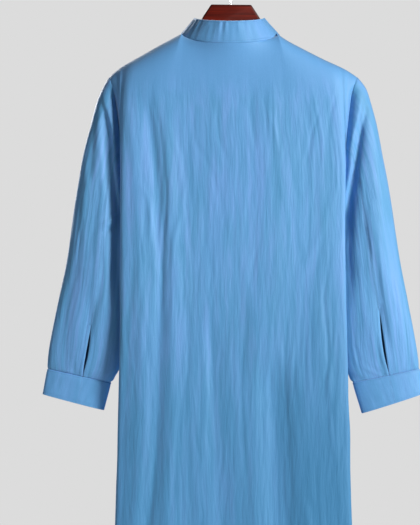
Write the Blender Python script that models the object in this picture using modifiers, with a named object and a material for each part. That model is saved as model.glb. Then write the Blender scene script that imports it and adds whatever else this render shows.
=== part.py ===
"""Long cotton nightshirt with a band collar, hanging on a wooden hanger.

Metres, +Z up. The garment's back faces -Y and its front +Y, and +X is on the right of
someone who looks at the back. The origin is the inner top of the hook's crook, where a
rod carries the hanger.

Each sewn piece is a wall of even thickness over one shared surface, which is worked out
from short tables of sections. Two pieces that meet take the same surface normals at their
seam, so that their edges stand parallel, a seam gap apart.
"""
from collections import namedtuple
from math import acos, cos, exp, pi, radians, sin, sqrt

import bpy
from mathutils import Vector

OBJECT_NAME = "nightshirt on a hanger"

# Directions: a panel faces back or front along Y, and a half lies left or right along X
BACK, FRONT = -1, 1
LEFT, RIGHT = -1, 1

# Cloth walls and seams
WALL = 0.0020              # cloth, with the air in its crinkles
STRIP_WALL = 0.0015        # pressed strips of the front opening
SEAM_GAP = 0.0003
PANEL_CLEARANCE = 0.0006   # between a panel and a strip that lies on it

# Heights
HEM_Z = -1.270
UNDERARM_Z = -0.455
NECK_SIDE_Z = -0.113
SHOULDER_Z = -0.194

# Neckline, from the centre of the back or front to the side of the neck
NECK_HALF_WIDTH = 0.092
NECK_DEPTH = {BACK: 0.058, FRONT: 0.060}
NECK_DROP = {BACK: 0.024, FRONT: 0.077}
NECK_ROUNDING = {BACK: 1.0, FRONT: 1.6}    # above one keeps the line high near the side

# Band collar, at its top edge
COLLAR_HALF_WIDTH = 0.065
COLLAR_DEPTH = {BACK: 0.052, FRONT: 0.055}
COLLAR_TOP_Z = -0.084
COLLAR_DROP = {BACK: 0.0135, FRONT: 0.068}
COLLAR_LAP = 0.0125        # how far each end passes the centre of the front
COLLAR_LAP_EASE = 0.030    # where the ends begin to part into two layers
COLLAR_ROWS = 3

# Front opening: a slot in the front panel between an outer and an inner strip
SLOT_HALF_WIDTH = 0.014
SLOT_BOTTOM_Z = -0.490
STRIP_HALF_WIDTH = 0.0175
STRIP_BOTTOM_Z = -0.505
STRIP_TOP_GAP = 0.0015     # below the neckline seam

# Body sections: each row gives one height, for a quarter of the way round
Section = namedtuple("Section", "z centre quarter edge_x edge_y tuck_x tuck_y seam_x")
BODY = (
    Section(-1.270, 0.050, 0.052, 0.226, 0.034, 0.221, 0.014, 0.214),
    Section(-1.027, 0.049, 0.050, 0.219, 0.036, 0.211, 0.014, 0.203),
    Section(-0.740, 0.048, 0.049, 0.212, 0.038, 0.199, 0.016, 0.190),
    Section(-0.560, 0.048, 0.048, 0.208, 0.038, 0.192, 0.017, 0.182),
    Section(-0.455, 0.048, 0.047, 0.208, 0.036, 0.194, 0.016, 0.186),
)
SECTION_KNOTS = (0.0, 0.40, 0.80, 0.90, 0.955, 1.0)
EDGE_ROUNDING = 0.020      # the panel starts to turn this far inside its edge
EDGE_SWELL = 0.010         # and stands this much deeper there

# Columns across a half panel, and rows below the underarm
NECK_SHARE = 0.5           # share of a half panel's top that is neckline
NECK_STEPS = 6
OUTER_COLUMNS = (0.56, 0.62, 0.68, 0.74, 0.80, 0.85, 0.90, 0.93, 0.96, 1.0)
LOW_ROWS_Z = (-1.270, -1.200, -1.115, -1.030, -0.945, -0.860, -0.780, -0.705, -0.635, -0.575,
              -0.525, -0.490, -0.455)
ARM_STEPS = 12             # from the underarm to the shoulder, on the back or the front

# Shoulder line, as height against the share of the way out, and its end
ShoulderRow = namedtuple("ShoulderRow", "along left right")
SHOULDER = (
    ShoulderRow(0.00, -0.1130, -0.1135),
    ShoulderRow(0.13, -0.1225, -0.1265),
    ShoulderRow(0.28, -0.1335, -0.1385),
    ShoulderRow(0.58, -0.1568, -0.1615),
    ShoulderRow(0.84, -0.1768, -0.1793),
    ShoulderRow(1.00, SHOULDER_Z, SHOULDER_Z),
)
SHOULDER_X = {LEFT: 0.2255, RIGHT: 0.2385}
CREST_SPREAD = 0.025       # how far down the cloth takes to open from the shoulder ridge
NECK_SPREAD = 0.060        # the same below the neckline
CREST_END = 0.35           # share of the height above the underarm in which the ridge dies out

# Armhole seam, as distance from the centre against the share of its height
ArmholeRow = namedtuple("ArmholeRow", "rise left right")
ARMHOLE = (
    ArmholeRow(0.000, 0.1860, 0.1860),
    ArmholeRow(0.067, 0.1930, 0.1930),
    ArmholeRow(0.146, 0.1990, 0.1990),
    ArmholeRow(0.250, 0.2035, 0.2045),
    ArmholeRow(0.500, 0.2075, 0.2115),
    ArmholeRow(0.720, 0.2115, 0.2195),
    ArmholeRow(0.900, 0.2180, 0.2280),
    ArmholeRow(1.000, SHOULDER_X[LEFT], SHOULDER_X[RIGHT]),
)
ARMHOLE_DEPTH = 0.029

# Sleeves: the edge that shows outside, the edge beside the body, and the half depth
EdgeRow = namedtuple("EdgeRow", "z left right")
SLEEVE_OUTER = (
    EdgeRow(SHOULDER_Z, SHOULDER_X[LEFT], SHOULDER_X[RIGHT]),
    EdgeRow(-0.216, 0.2377, 0.2535),
    EdgeRow(-0.243, 0.2493, 0.2615),
    EdgeRow(-0.283, 0.2617, 0.2710),
    EdgeRow(-0.341, 0.2782, 0.2802),
    EdgeRow(-0.420, 0.2920, 0.2940),
    EdgeRow(-0.540, 0.3103, 0.3123),
    EdgeRow(-0.610, 0.3257, 0.3262),
    EdgeRow(-0.700, 0.3430, 0.3430),
    EdgeRow(-0.740, 0.3465, 0.3490),
)
SLEEVE_INNER = (
    EdgeRow(UNDERARM_Z, 0.1860, 0.1860),
    EdgeRow(-0.464, 0.1960, 0.1960),
    EdgeRow(-0.490, 0.1995, 0.1995),
    EdgeRow(-0.560, 0.1975, 0.1975),
    EdgeRow(-0.650, 0.1990, 0.1990),
    EdgeRow(-0.710, 0.2045, 0.2035),
    EdgeRow(-0.742, 0.2135, 0.2110),
    EdgeRow(-0.766, 0.2275, 0.2240),
)
SleeveDepthRow = namedtuple("SleeveDepthRow", "along half_depth")
SLEEVE_DEPTH = (
    SleeveDepthRow(0.00, 0.0290),
    SleeveDepthRow(0.15, 0.0300),
    SleeveDepthRow(0.40, 0.0310),
    SleeveDepthRow(0.62, 0.0290),
    SleeveDepthRow(0.82, 0.0240),
    SleeveDepthRow(0.94, 0.0175),
    SleeveDepthRow(1.00, 0.0115),
)
SLEEVE_RINGS = 18
SLEEVE_SETTLE = 0.30       # share of the sleeve in which it leaves the armhole's shape
SIDE_FLATNESS = 0.75       # below one makes a ring's sides flatter than an ellipse

# Slit above each cuff: the ring it starts at, and its place across the sleeve
SlitRow = namedtuple("SlitRow", "first_ring at_top at_seam")
SLIT = {LEFT: SlitRow(14, 0.490, 0.444), RIGHT: SlitRow(13, 0.583, 0.537)}
SLIT_WIDTH = 0.0050
SLIT_END_HALF_WIDTH = 0.0004   # at the cuff seam
SLIT_COLUMN = 6

# Cuffs: the corners of the bottom edge
CuffRow = namedtuple("CuffRow", "outer_x outer_z inner_x inner_z")
CUFF_BOTTOM = {
    LEFT: CuffRow(0.3553, -0.7867, 0.2409, -0.8166),
    RIGHT: CuffRow(0.3575, -0.7853, 0.2412, -0.8227),
}
CUFF_HALF_DEPTH = 0.0125
CUFF_ROWS = 3

# The garment hangs a little to the left at the neck and to the right below
LEAN_TOP = -0.0040
LEAN_LOW = 0.0025
LEAN_FROM_Z = -0.140
LEAN_TO_Z = -0.400

# Largest folds: negative heights are troughs, and x is given at five heights on the way down
Fold = namedtuple("Fold", "face height half_width zs xs")
FOLDS = (
    Fold(BACK, -0.0065, 0.020, (-0.200, -0.330, -0.540, -0.880, -1.300),
         (-0.152, -0.136, -0.122, -0.131, -0.160)),
    Fold(BACK, 0.0025, 0.018, (-0.230, -0.400, -0.600, -0.900, -1.300),
         (-0.168, -0.158, -0.152, -0.162, -0.188)),
    Fold(BACK, 0.0030, 0.024, (-0.260, -0.400, -0.600, -0.900, -1.300),
         (-0.100, -0.092, -0.086, -0.092, -0.112)),
    Fold(BACK, -0.0040, 0.026, (-0.620, -0.780, -0.900, -1.030, -1.300),
         (-0.020, -0.016, -0.010, -0.004, 0.006)),
    Fold(BACK, -0.0055, 0.030, (-0.700, -0.860, -0.950, -1.030, -1.300),
         (0.112, 0.122, 0.132, 0.144, 0.158)),
    Fold(BACK, 0.0030, 0.028, (-0.560, -0.700, -0.860, -1.030, -1.300),
         (0.070, 0.074, 0.076, 0.080, 0.088)),
    Fold(FRONT, -0.0060, 0.022, (-0.220, -0.360, -0.560, -0.900, -1.300),
         (0.138, 0.126, 0.116, 0.124, 0.150)),
    Fold(FRONT, 0.0030, 0.024, (-0.260, -0.420, -0.600, -0.900, -1.300),
         (0.092, 0.086, 0.080, 0.088, 0.104)),
    Fold(FRONT, -0.0050, 0.028, (-0.480, -0.640, -0.800, -1.000, -1.300),
         (-0.104, -0.110, -0.118, -0.130, -0.152)),
    Fold(FRONT, -0.0040, 0.026, (-0.640, -0.760, -0.900, -1.050, -1.300),
         (0.006, 0.002, -0.006, -0.014, -0.024)),
)
SLEEVE_FOLDS = (
    Fold(BACK, -0.0080, 0.014, (-0.215, -0.260, -0.330, -0.440, -0.640),
         (-0.243, -0.232, -0.222, -0.216, -0.214)),
    Fold(BACK, -0.0080, 0.014, (-0.215, -0.260, -0.330, -0.440, -0.640),
         (0.259, 0.247, 0.233, 0.220, 0.214)),
    Fold(BACK, -0.0045, 0.016, (-0.560, -0.600, -0.650, -0.700, -0.740),
         (-0.252, -0.258, -0.266, -0.272, -0.278)),
    Fold(BACK, -0.0045, 0.016, (-0.520, -0.580, -0.640, -0.700, -0.740),
         (0.262, 0.270, 0.280, 0.288, 0.293)),
    Fold(FRONT, -0.0070, 0.016, (-0.225, -0.290, -0.370, -0.470, -0.620),
         (-0.246, -0.234, -0.226, -0.222, -0.226)),
    Fold(FRONT, -0.0070, 0.016, (-0.225, -0.290, -0.370, -0.470, -0.620),
         (0.262, 0.246, 0.234, 0.226, 0.228)),
)
FOLD_FADE = 0.090          # length over which a fold rises from nothing at its ends

# Buttons
BUTTON_RADIUS = 0.0058
BUTTON_THICKNESS = 0.0026
BUTTON_BEVEL = 0.0005
PLACKET_BUTTON_LEVELS = (0.72, 0.36, 0.0)   # 1 is the neckline and 0 the underarm

# Wooden hanger, seen square on, and its tilt about the hook
WOOD_HALF_THICKNESS = 0.0090
WOOD_BEVEL = 0.0035
WOOD_NECK = ((0.0, -0.0600), (0.0375, -0.0600), (0.0535, -0.0845), (0.0615, -0.0985),
             (0.0705, -0.1110), (0.0830, -0.1190))
WOOD_ARM_X = (0.098, 0.115, 0.130, 0.150, 0.170, 0.190, 0.200)
WOOD_ARM_DROP = 0.0056     # from the shoulder line down to the arm
WOOD_TIP = ((0.0070, -0.0065), (0.0115, -0.0140), (0.0115, -0.0215), (0.0055, -0.0275))
WOOD_UNDERSIDE = ((0.1900, -0.2020), (0.1600, -0.1870), (0.1300, -0.1715), (0.1000, -0.1570),
                  (0.0700, -0.1490), (0.0350, -0.1465), (0.0, -0.1460))
HANGER_TILT = radians(0.6)
SHOULDER_MIDDLE_Z = -0.150

# Hook of round wire
HOOK_WIRE_RADIUS = 0.0015
CROOK_INNER_RADIUS = 0.018
CROOK_FROM = radians(205)
CROOK_TO = radians(-62)
CROOK_STEPS = 22
SHANK_BEND = ((0.0050, -0.0405), (0.0012, -0.0455), (0.0, -0.0500))


def mix(a, b, share):
    return a + (b - a) * share


def ease(t):
    """Smooth step from 0 to 1 while t goes from 0 to 1."""
    t = min(max(t, 0.0), 1.0)
    return t * t * (3.0 - 2.0 * t)


def spline(knots, values, at):
    """Smooth curve through the values at ascending knots, read at one place."""
    at = min(max(at, knots[0]), knots[-1])
    last = len(knots) - 1
    i = max(j for j in range(last) if knots[j] <= at)

    def slope(j):
        before, after = max(j - 1, 0), min(j + 1, last)
        return (values[after] - values[before]) / (knots[after] - knots[before])

    span = knots[i + 1] - knots[i]
    t = (at - knots[i]) / span
    start = (1.0 + 2.0 * t) * (1.0 - t) ** 2 * values[i] + t * (1.0 - t) ** 2 * span * slope(i)
    end = t * t * (3.0 - 2.0 * t) * values[i + 1] - t * t * (1.0 - t) * span * slope(i + 1)
    return start + end


def column(table, name):
    return [getattr(row, name) for row in table]


def side_name(side):
    return "left" if side == LEFT else "right"


def lean(z):
    """Sideways shift of the hanging garment at a height."""
    return mix(LEAN_TOP, LEAN_LOW, ease((LEAN_FROM_Z - z) / (LEAN_FROM_Z - LEAN_TO_Z)))


def placed(face, side, x, depth, z):
    return Vector((side * x + lean(z), face * depth, z))


def fold_height(folds, face, x, z):
    """Sum of the folds of one face at a world x and z."""
    total = 0.0
    for fold in folds:
        if fold.face != face:
            continue
        falling = [-height for height in fold.zs]
        away = (x - spline(falling, fold.xs, -z)) / fold.half_width
        ends = ease((fold.zs[0] - z) / FOLD_FADE)
        ends *= ease((z - fold.zs[-1]) / FOLD_FADE) if fold.zs[-1] > HEM_Z else 1.0
        total += fold.height * ends * exp(-away * away * 1.5)
    return total


# Body

def section_at(z):
    rising = column(BODY, "z")
    return Section(z, *(spline(rising, column(BODY, name), z) for name in Section._fields[1:]))


def half_section(row, s):
    """Distance from the centre and depth at a share s of the way to the side seam."""
    shoulder_x = row.edge_x - EDGE_ROUNDING
    xs = (0.0, 0.5 * shoulder_x, shoulder_x, row.edge_x, row.tuck_x, row.seam_x)
    depths = (row.centre, row.quarter, row.edge_y + EDGE_SWELL, row.edge_y, row.tuck_y, 0.0)
    return spline(SECTION_KNOTS, xs, s), spline(SECTION_KNOTS, depths, s)


def neckline(face, s):
    turn = 0.5 * pi * s / NECK_SHARE
    forward = max(cos(turn), 0.0)
    return (NECK_HALF_WIDTH * sin(turn), NECK_DEPTH[face] * forward,
            NECK_SIDE_Z - NECK_DROP[face] * forward ** NECK_ROUNDING[face])


def top_edge(face, side, s):
    """Distance, depth and height where a panel ends: neckline first, then shoulder line."""
    if s <= NECK_SHARE:
        return neckline(face, s)
    along = (s - NECK_SHARE) / (1.0 - NECK_SHARE)
    height = spline(column(SHOULDER, "along"), column(SHOULDER, side_name(side)), along)
    return mix(NECK_HALF_WIDTH, SHOULDER_X[side], along), 0.0, height


def armhole_x(side, rise):
    return spline(column(ARMHOLE, "rise"), column(ARMHOLE, side_name(side)), rise)


def crest(s, below, rise):
    """One at the top edge and zero at the underarm: a round ridge on the shoulder."""
    soft = exp(-below / NECK_SPREAD)
    sharp = exp(-sqrt(below / CREST_SPREAD))
    return mix(soft, sharp, ease((s - 0.3) / 0.2)) * ease(rise / CREST_END)


def body_local(face, side, s, level):
    """Distance from the centre, depth and height on a panel.

    Level -1 is the hem, 0 the underarm and 1 the panel's top edge.
    """
    low, rise = min(level, 0.0), max(level, 0.0)
    top_x, top_depth, top_z = top_edge(face, side, s)
    full = top_z - UNDERARM_Z
    z = UNDERARM_Z + low * (UNDERARM_Z - HEM_Z) + rise * full
    x, depth = half_section(section_at(min(z, UNDERARM_Z)), s)
    toward_seam = max(0.0, (s - 0.9) / 0.1)
    high_x = x + toward_seam * (armhole_x(side, 1.0) - armhole_x(side, 0.0))
    x += toward_seam * (armhole_x(side, rise) - armhole_x(side, 0.0))
    x += (top_x - high_x) * rise ** 3
    round_part = sin(acos(1.0 - 2.0 * rise)) if rise < 0.5 else 1.0
    depth += toward_seam * ARMHOLE_DEPTH * round_part
    opened = 1.0 - crest(s, (1.0 - rise) * full, rise)
    depth = mix(top_depth, depth, opened)
    fade = opened * (1.0 - ease((s - 0.86) / 0.10))
    depth += fade * fold_height(FOLDS, face, side * x + lean(z), z)
    return x, depth, z


def body_point(face, side, s, level):
    return placed(face, side, *body_local(face, side, s, level))


def level_at(z):
    """Level of a height below the underarm."""
    return (z - UNDERARM_Z) / (UNDERARM_Z - HEM_Z)


def share_at(face, side, x, level):
    """Share s at which a panel's row passes a distance from the centre, near the centre."""
    low, high = 0.0, NECK_SHARE
    for _ in range(30):
        middle = 0.5 * (low + high)
        if body_local(face, side, middle, level)[0] < x:
            low = middle
        else:
            high = middle
    return low


def column_shares(face, side, level):
    """Shares s of a half panel's columns, from the centre to its side.

    On the front the first column after the centre is the slot's edge.
    """
    inner = [NECK_SHARE * i / NECK_STEPS for i in range(NECK_STEPS + 1)]
    if face == FRONT:
        slot = share_at(face, side, SLOT_HALF_WIDTH, level)
        steps = NECK_STEPS - 1
        inner = [0.0] + [mix(slot, NECK_SHARE, i / steps) for i in range(steps + 1)]
    return inner + list(OUTER_COLUMNS)


def arm_rise(step):
    """Share of the armhole's height, closer together at both ends."""
    return 0.5 * (1.0 - cos(pi * step / ARM_STEPS))


def panel_levels():
    return [level_at(z) for z in LOW_ROWS_Z] + [arm_rise(k) for k in range(1, ARM_STEPS + 1)]


# Open surfaces

class Sheet:
    """An open surface of quads that a wall is made from.

    Sheets of one part of the garment count as one when normals are shared at a seam.
    """

    def __init__(self, name, part, thickness=WALL):
        self.name = name
        self.part = part
        self.thickness = thickness
        self.points = []
        self.anchors = []
        self.lifts = []
        self.faces = []

    def point(self, position, lift=0.0, anchor=None):
        """Add a point. Its normal is shared with all points of the same anchor."""
        self.points.append(position)
        self.anchors.append(key(anchor or position))
        self.lifts.append(lift)
        return len(self.points) - 1

    def grid(self, rows, outward_first=True, closed=False, keep=None):
        """Quads between rows of point numbers."""
        for r in range(len(rows) - 1):
            count = len(rows[r]) if closed else len(rows[r]) - 1
            for c in range(count):
                if keep and not keep(r, c):
                    continue
                d = (c + 1) % len(rows[r])
                quad = (rows[r][c], rows[r][d], rows[r + 1][d], rows[r + 1][c])
                self.faces.append(quad if outward_first else quad[::-1])


def panel(name, face):
    """Back or front, from hem to neckline and from one side seam to the other."""
    sheet = Sheet(name, "body")
    rows = []
    levels = panel_levels()
    for level in levels:
        left = [body_point(face, LEFT, s, level) for s in column_shares(face, LEFT, level)]
        right = [body_point(face, RIGHT, s, level) for s in column_shares(face, RIGHT, level)]
        rows.append([sheet.point(p) for p in left[::-1] + right[1:]])
    middle = (len(rows[0]) - 1) // 2
    slot_row = levels.index(level_at(SLOT_BOTTOM_Z))

    def outside_slot(r, c):
        return face == BACK or r < slot_row or c not in (middle - 1, middle)

    sheet.grid(rows, outward_first=face == BACK, keep=outside_slot)
    drop_loose_points(sheet)
    return sheet


def drop_loose_points(sheet):
    """Remove the points that no quad uses."""
    used = sorted({i for quad in sheet.faces for i in quad})
    number = {old: new for new, old in enumerate(used)}
    sheet.points = [sheet.points[i] for i in used]
    sheet.anchors = [sheet.anchors[i] for i in used]
    sheet.lifts = [sheet.lifts[i] for i in used]
    sheet.faces = [tuple(number[i] for i in quad) for quad in sheet.faces]


def edge_at(table, side, along):
    """Point on a sleeve's edge at a share of the edge's length."""
    points = [(getattr(row, side_name(side)), row.z) for row in table]
    lengths = [0.0]
    for a, b in zip(points, points[1:]):
        lengths.append(lengths[-1] + sqrt((b[0] - a[0]) ** 2 + (b[1] - a[1]) ** 2))
    shares = [length / lengths[-1] for length in lengths]
    return (spline(shares, [p[0] for p in points], along),
            spline(shares, [p[1] for p in points], along))


def across_sleeve(side, step, along):
    """Share of a ring's chord, drawn so that the middle column follows the slit."""
    row = SLIT[side]
    top = row.first_ring / SLEEVE_RINGS
    if along < top:
        target = mix(0.5, row.at_top, ease(along / top))
    else:
        target = mix(row.at_top, row.at_seam, (along - top) / (1.0 - top))
    share = arm_rise(step)
    return share + (target - 0.5) * 4.0 * share * (1.0 - share)


def sleeve_point(side, face, step, along, shift=0.0):
    """Point of a sleeve, a step round from the underarm and a share of its length down."""
    if along == 0.0:
        return body_point(face, side, 1.0, arm_rise(step))
    inner, outer = edge_at(SLEEVE_INNER, side, along), edge_at(SLEEVE_OUTER, side, along)
    length = sqrt((outer[0] - inner[0]) ** 2 + (outer[1] - inner[1]) ** 2)
    share = across_sleeve(side, step, along) + shift / length
    x, z = mix(inner[0], outer[0], share), mix(inner[1], outer[1], share)
    turn = pi * step / ARM_STEPS
    depth = spline(column(SLEEVE_DEPTH, "along"), column(SLEEVE_DEPTH, "half_depth"), along)
    depth *= sin(turn) ** SIDE_FLATNESS if 0 < step < ARM_STEPS else 0.0
    rise = arm_rise(step)
    seam_x, seam_depth, _ = body_local(face, side, 1.0, rise)
    leaving = 1.0 - ease(along / SLEEVE_SETTLE)
    x += (seam_x - mix(SLEEVE_INNER[0].left, SHOULDER_X[side], rise)) * leaving
    depth = mix(depth, seam_depth, leaving)
    arriving = ease(along / 0.08) * ease((1.0 - along) / 0.10) * sin(turn)
    depth += arriving * fold_height(SLEEVE_FOLDS, face, side * x + lean(z), z)
    return placed(face, side, x, depth, z)


def ring_steps():
    """Face and step of each point round a sleeve, up the back and down the front."""
    up = [(BACK, k) for k in range(ARM_STEPS + 1)]
    down = [(FRONT, k) for k in range(ARM_STEPS - 1, 0, -1)]
    return up + down


def sleeve(side):
    """Sleeve from the armhole to the cuff seam, with the slit's two edges apart."""
    sheet = Sheet(f"sleeve_{side_name(side)}", "sleeve")
    first = SLIT[side].first_ring
    rows = []
    split = {}
    for ring in range(SLEEVE_RINGS + 1):
        along = ring / SLEEVE_RINGS
        points = [sleeve_point(side, face, step, along) for face, step in ring_steps()]
        numbers = [sheet.point(p) for p in points]
        if ring > first:
            half = 0.5 * SLIT_WIDTH * sin(pi * (ring - first) / (SLEEVE_RINGS - first))
            half = max(half, SLIT_END_HALF_WIDTH)
            middle = points[SLIT_COLUMN]
            near = sleeve_point(side, BACK, SLIT_COLUMN, along, -half)
            beyond = sleeve_point(side, BACK, SLIT_COLUMN, along, half)
            numbers[SLIT_COLUMN] = sheet.point(near, anchor=middle)
            split[ring] = sheet.point(beyond, anchor=middle)
        rows.append(numbers)
    outward = side == LEFT
    sheet.grid(rows, outward_first=outward, closed=True, keep=lambda r, c: c != SLIT_COLUMN)
    lip = [[split.get(r, row[SLIT_COLUMN]), row[SLIT_COLUMN + 1]] for r, row in enumerate(rows)]
    sheet.grid(lip, outward_first=outward)
    drop_loose_points(sheet)
    return sheet


def cuff(side):
    """Plain band from the sleeve's end to the cuff's bottom edge."""
    sheet = Sheet(f"cuff_{side_name(side)}", "cuff")
    bottom = CUFF_BOTTOM[side]
    rows = []
    for row in range(CUFF_ROWS + 1):
        down = row / CUFF_ROWS
        numbers = []
        for face, step in ring_steps():
            start = sleeve_point(side, face, step, 1.0)
            share = across_sleeve(side, step, 1.0)
            turn = pi * step / ARM_STEPS
            depth = CUFF_HALF_DEPTH * sin(turn) ** SIDE_FLATNESS if 0 < step < ARM_STEPS else 0.0
            x = mix(bottom.inner_x, bottom.outer_x, share)
            z = mix(bottom.inner_z, bottom.outer_z, share)
            numbers.append(sheet.point(mix(start, placed(face, side, x, depth, z), down)))
        rows.append(numbers)
    sheet.grid(rows, outward_first=side == LEFT, closed=True)
    return sheet


def collar_top(face, side, s):
    turn = 0.5 * pi * s / NECK_SHARE
    forward = max(cos(turn), 0.0)
    return placed(face, side, COLLAR_HALF_WIDTH * sin(turn), COLLAR_DEPTH[face] * forward,
                  COLLAR_TOP_Z - COLLAR_DROP[face] * forward ** NECK_ROUNDING[face])


def collar():
    """Band from the under end at the front, round the back, to the over end."""
    sheet = Sheet("collar", "collar")
    lap = share_at(FRONT, RIGHT, COLLAR_LAP, 1.0)
    front = column_shares(FRONT, RIGHT, 1.0)[:NECK_STEPS + 1]
    back = column_shares(BACK, RIGHT, 1.0)[:NECK_STEPS]
    half = [(FRONT, RIGHT, -lap)] + [(FRONT, RIGHT, s) for s in front]
    half += [(BACK, RIGHT, s) for s in back[:0:-1]]
    other = [(face, LEFT, s) for face, _, s in half]
    stations = [(place, -1) for place in half] + [((BACK, RIGHT, 0.0), 0)]
    stations += [(place, 1) for place in other[::-1]]
    rows = []
    for row in range(COLLAR_ROWS + 1):
        up = row / COLLAR_ROWS
        numbers = []
        for (face, side, s), layer in stations:
            seam = placed(face, side, *neckline(face, s))
            apart = 0.0
            if face == FRONT:
                x = NECK_HALF_WIDTH * sin(0.5 * pi * s / NECK_SHARE)
                span = COLLAR_LAP_EASE - SLOT_HALF_WIDTH
                apart = 0.5 * (WALL + SEAM_GAP) * ease((COLLAR_LAP_EASE - x) / span)
            numbers.append(sheet.point(mix(seam, collar_top(face, side, s), up), layer * apart))
        rows.append(numbers)
    sheet.grid(rows, outward_first=False)
    return sheet


def placket_strip(name, lift):
    """Straight strip over or under the slot, from the front panel's points moved out or in."""
    sheet = Sheet(name, "strip", STRIP_WALL)
    levels = [level_at(STRIP_BOTTOM_Z), level_at(SLOT_BOTTOM_Z), 0.0]
    levels += [arm_rise(k) for k in range(1, ARM_STEPS)]
    full = neckline(FRONT, 0.0)[2] - UNDERARM_Z
    levels.append(1.0 - STRIP_TOP_GAP / full)
    rows = []
    for level in levels:
        points = []
        for side, x in ((LEFT, STRIP_HALF_WIDTH), (LEFT, SLOT_HALF_WIDTH), (RIGHT, 0.0),
                        (RIGHT, SLOT_HALF_WIDTH), (RIGHT, STRIP_HALF_WIDTH)):
            s = share_at(FRONT, side, x, level) if x > 0.0 else 0.0
            points.append(sheet.point(body_point(FRONT, side, s, level), lift))
        rows.append(points)
    sheet.grid(rows, outward_first=False)
    return sheet


# Walls

def key(position):
    """Rounded position, so that points of two pieces on one seam are the same."""
    return tuple(round(value, 6) + 0.0 for value in position)


def quad_normal(sheet, quad):
    a, b, c, d = (sheet.points[i] for i in quad)
    return (c - a).cross(d - b).normalized()


def shared_normals(sheets):
    """Outward normal at each point of a group of sheets.

    Each part of the garment that meets there counts the same, so a seam's edges point
    halfway between the two cloths, also where they fold back on each other.
    """
    sums = {}
    for sheet in sheets:
        for quad in sheet.faces:
            normal = quad_normal(sheet, quad)
            for i in quad:
                parts = sums.setdefault(sheet.anchors[i], {})
                parts[sheet.part] = parts.get(sheet.part, Vector((0.0, 0.0, 0.0))) + normal
    shared = {}
    for place, parts in sums.items():
        total = sum((found.normalized() for found in parts.values()), Vector((0.0, 0.0, 0.0)))
        shared[place] = total.normalized()
    return shared


def rim_edges(sheet):
    """Edges with one quad, each with that quad."""
    owner = {}
    for quad in sheet.faces:
        for a, b in zip(quad, quad[1:] + quad[:1]):
            if (b, a) in owner:
                del owner[(b, a)]
            else:
                owner[(a, b)] = quad
    return owner


def drawn_back(sheet, normals):
    """Points of a sheet with its edges half a seam gap inside the seam line."""
    half_gap = 0.5 * SEAM_GAP * 1.1
    pulls = {}
    for (a, b), quad in rim_edges(sheet).items():
        along = (sheet.points[b] - sheet.points[a]).normalized()
        inward = quad_normal(sheet, quad).cross(along).normalized()
        for i in (a, b):
            across = normals[sheet.anchors[i]].cross(along)
            facing = abs(across.normalized().dot(inward)) if across.length > 0.01 else 1.0
            pulls.setdefault(i, []).append(inward * half_gap / max(facing, 0.35))
    moved = list(sheet.points)
    for i, found in pulls.items():
        total = sum(found, Vector((0.0, 0.0, 0.0)))
        if len(found) == 2:
            total /= max(1.0 + found[0].normalized().dot(found[1].normalized()), 0.4)
        moved[i] = sheet.points[i] + total
    return moved


def wall(sheet, normals, material):
    """Closed body: the sheet's points moved out by their lift, and the same points inside.

    Twisted rims are cut along the same diagonal on both pieces of a seam.
    """
    points = drawn_back(sheet, normals)
    count = len(points)
    ways = [normals[anchor] for anchor in sheet.anchors]
    outer = [p + n * lift for p, n, lift in zip(points, ways, sheet.lifts)]
    inner = [p - n * sheet.thickness for p, n in zip(outer, ways)]
    faces = list(sheet.faces)
    faces += [tuple(i + count for i in quad[::-1]) for quad in sheet.faces]
    for a, b in rim_edges(sheet):
        if sheet.anchors[a] < sheet.anchors[b]:
            faces += [(b, a, b + count), (a, a + count, b + count)]
        else:
            faces += [(b, a, a + count), (b, a + count, b + count)]
    mesh = bpy.data.meshes.new(sheet.name)
    mesh.from_pydata(outer + inner, [], faces)
    mesh.validate()
    mesh.shade_smooth()
    mesh.set_sharp_from_angle(angle=radians(50))
    return add_object(sheet.name, mesh, material)


# Scene objects

def clear_scene():
    for thing in list(bpy.data.objects):
        bpy.data.objects.remove(thing, do_unlink=True)


def principled(name, colour, roughness, metallic=0.0):
    material = bpy.data.materials.new(name)
    material.use_nodes = True
    shader = material.node_tree.nodes["Principled BSDF"]
    shader.inputs["Base Color"].default_value = (*colour, 1.0)
    shader.inputs["Roughness"].default_value = roughness
    shader.inputs["Metallic"].default_value = metallic
    return material


def add_object(name, data, material):
    thing = bpy.data.objects.new(name, data)
    bpy.data.collections[OBJECT_NAME].objects.link(thing)
    thing.data.materials.append(material)
    return thing


def arm_top(x):
    """Height of the wooden arm, in its own frame, under the lower of the two shoulder lines."""
    heights = []
    for side in (LEFT, RIGHT):
        from_centre = x + side * (SHOULDER_MIDDLE_Z * sin(HANGER_TILT) - LEAN_TOP)
        along = (from_centre - NECK_HALF_WIDTH) / (SHOULDER_X[side] - NECK_HALF_WIDTH)
        line = spline(column(SHOULDER, "along"), column(SHOULDER, side_name(side)), along)
        heights.append(line + side * x * sin(HANGER_TILT))
    return min(heights) - WOOD_ARM_DROP


def hanger_outline():
    """Right half of the wooden hanger seen square on, from the top round to the underside."""
    arm = [(x, arm_top(x)) for x in WOOD_ARM_X]
    end_x, end_z = arm[-1]
    tip = [(end_x + x, end_z + z) for x, z in WOOD_TIP]
    return list(WOOD_NECK) + arm + tip + list(WOOD_UNDERSIDE)


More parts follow.
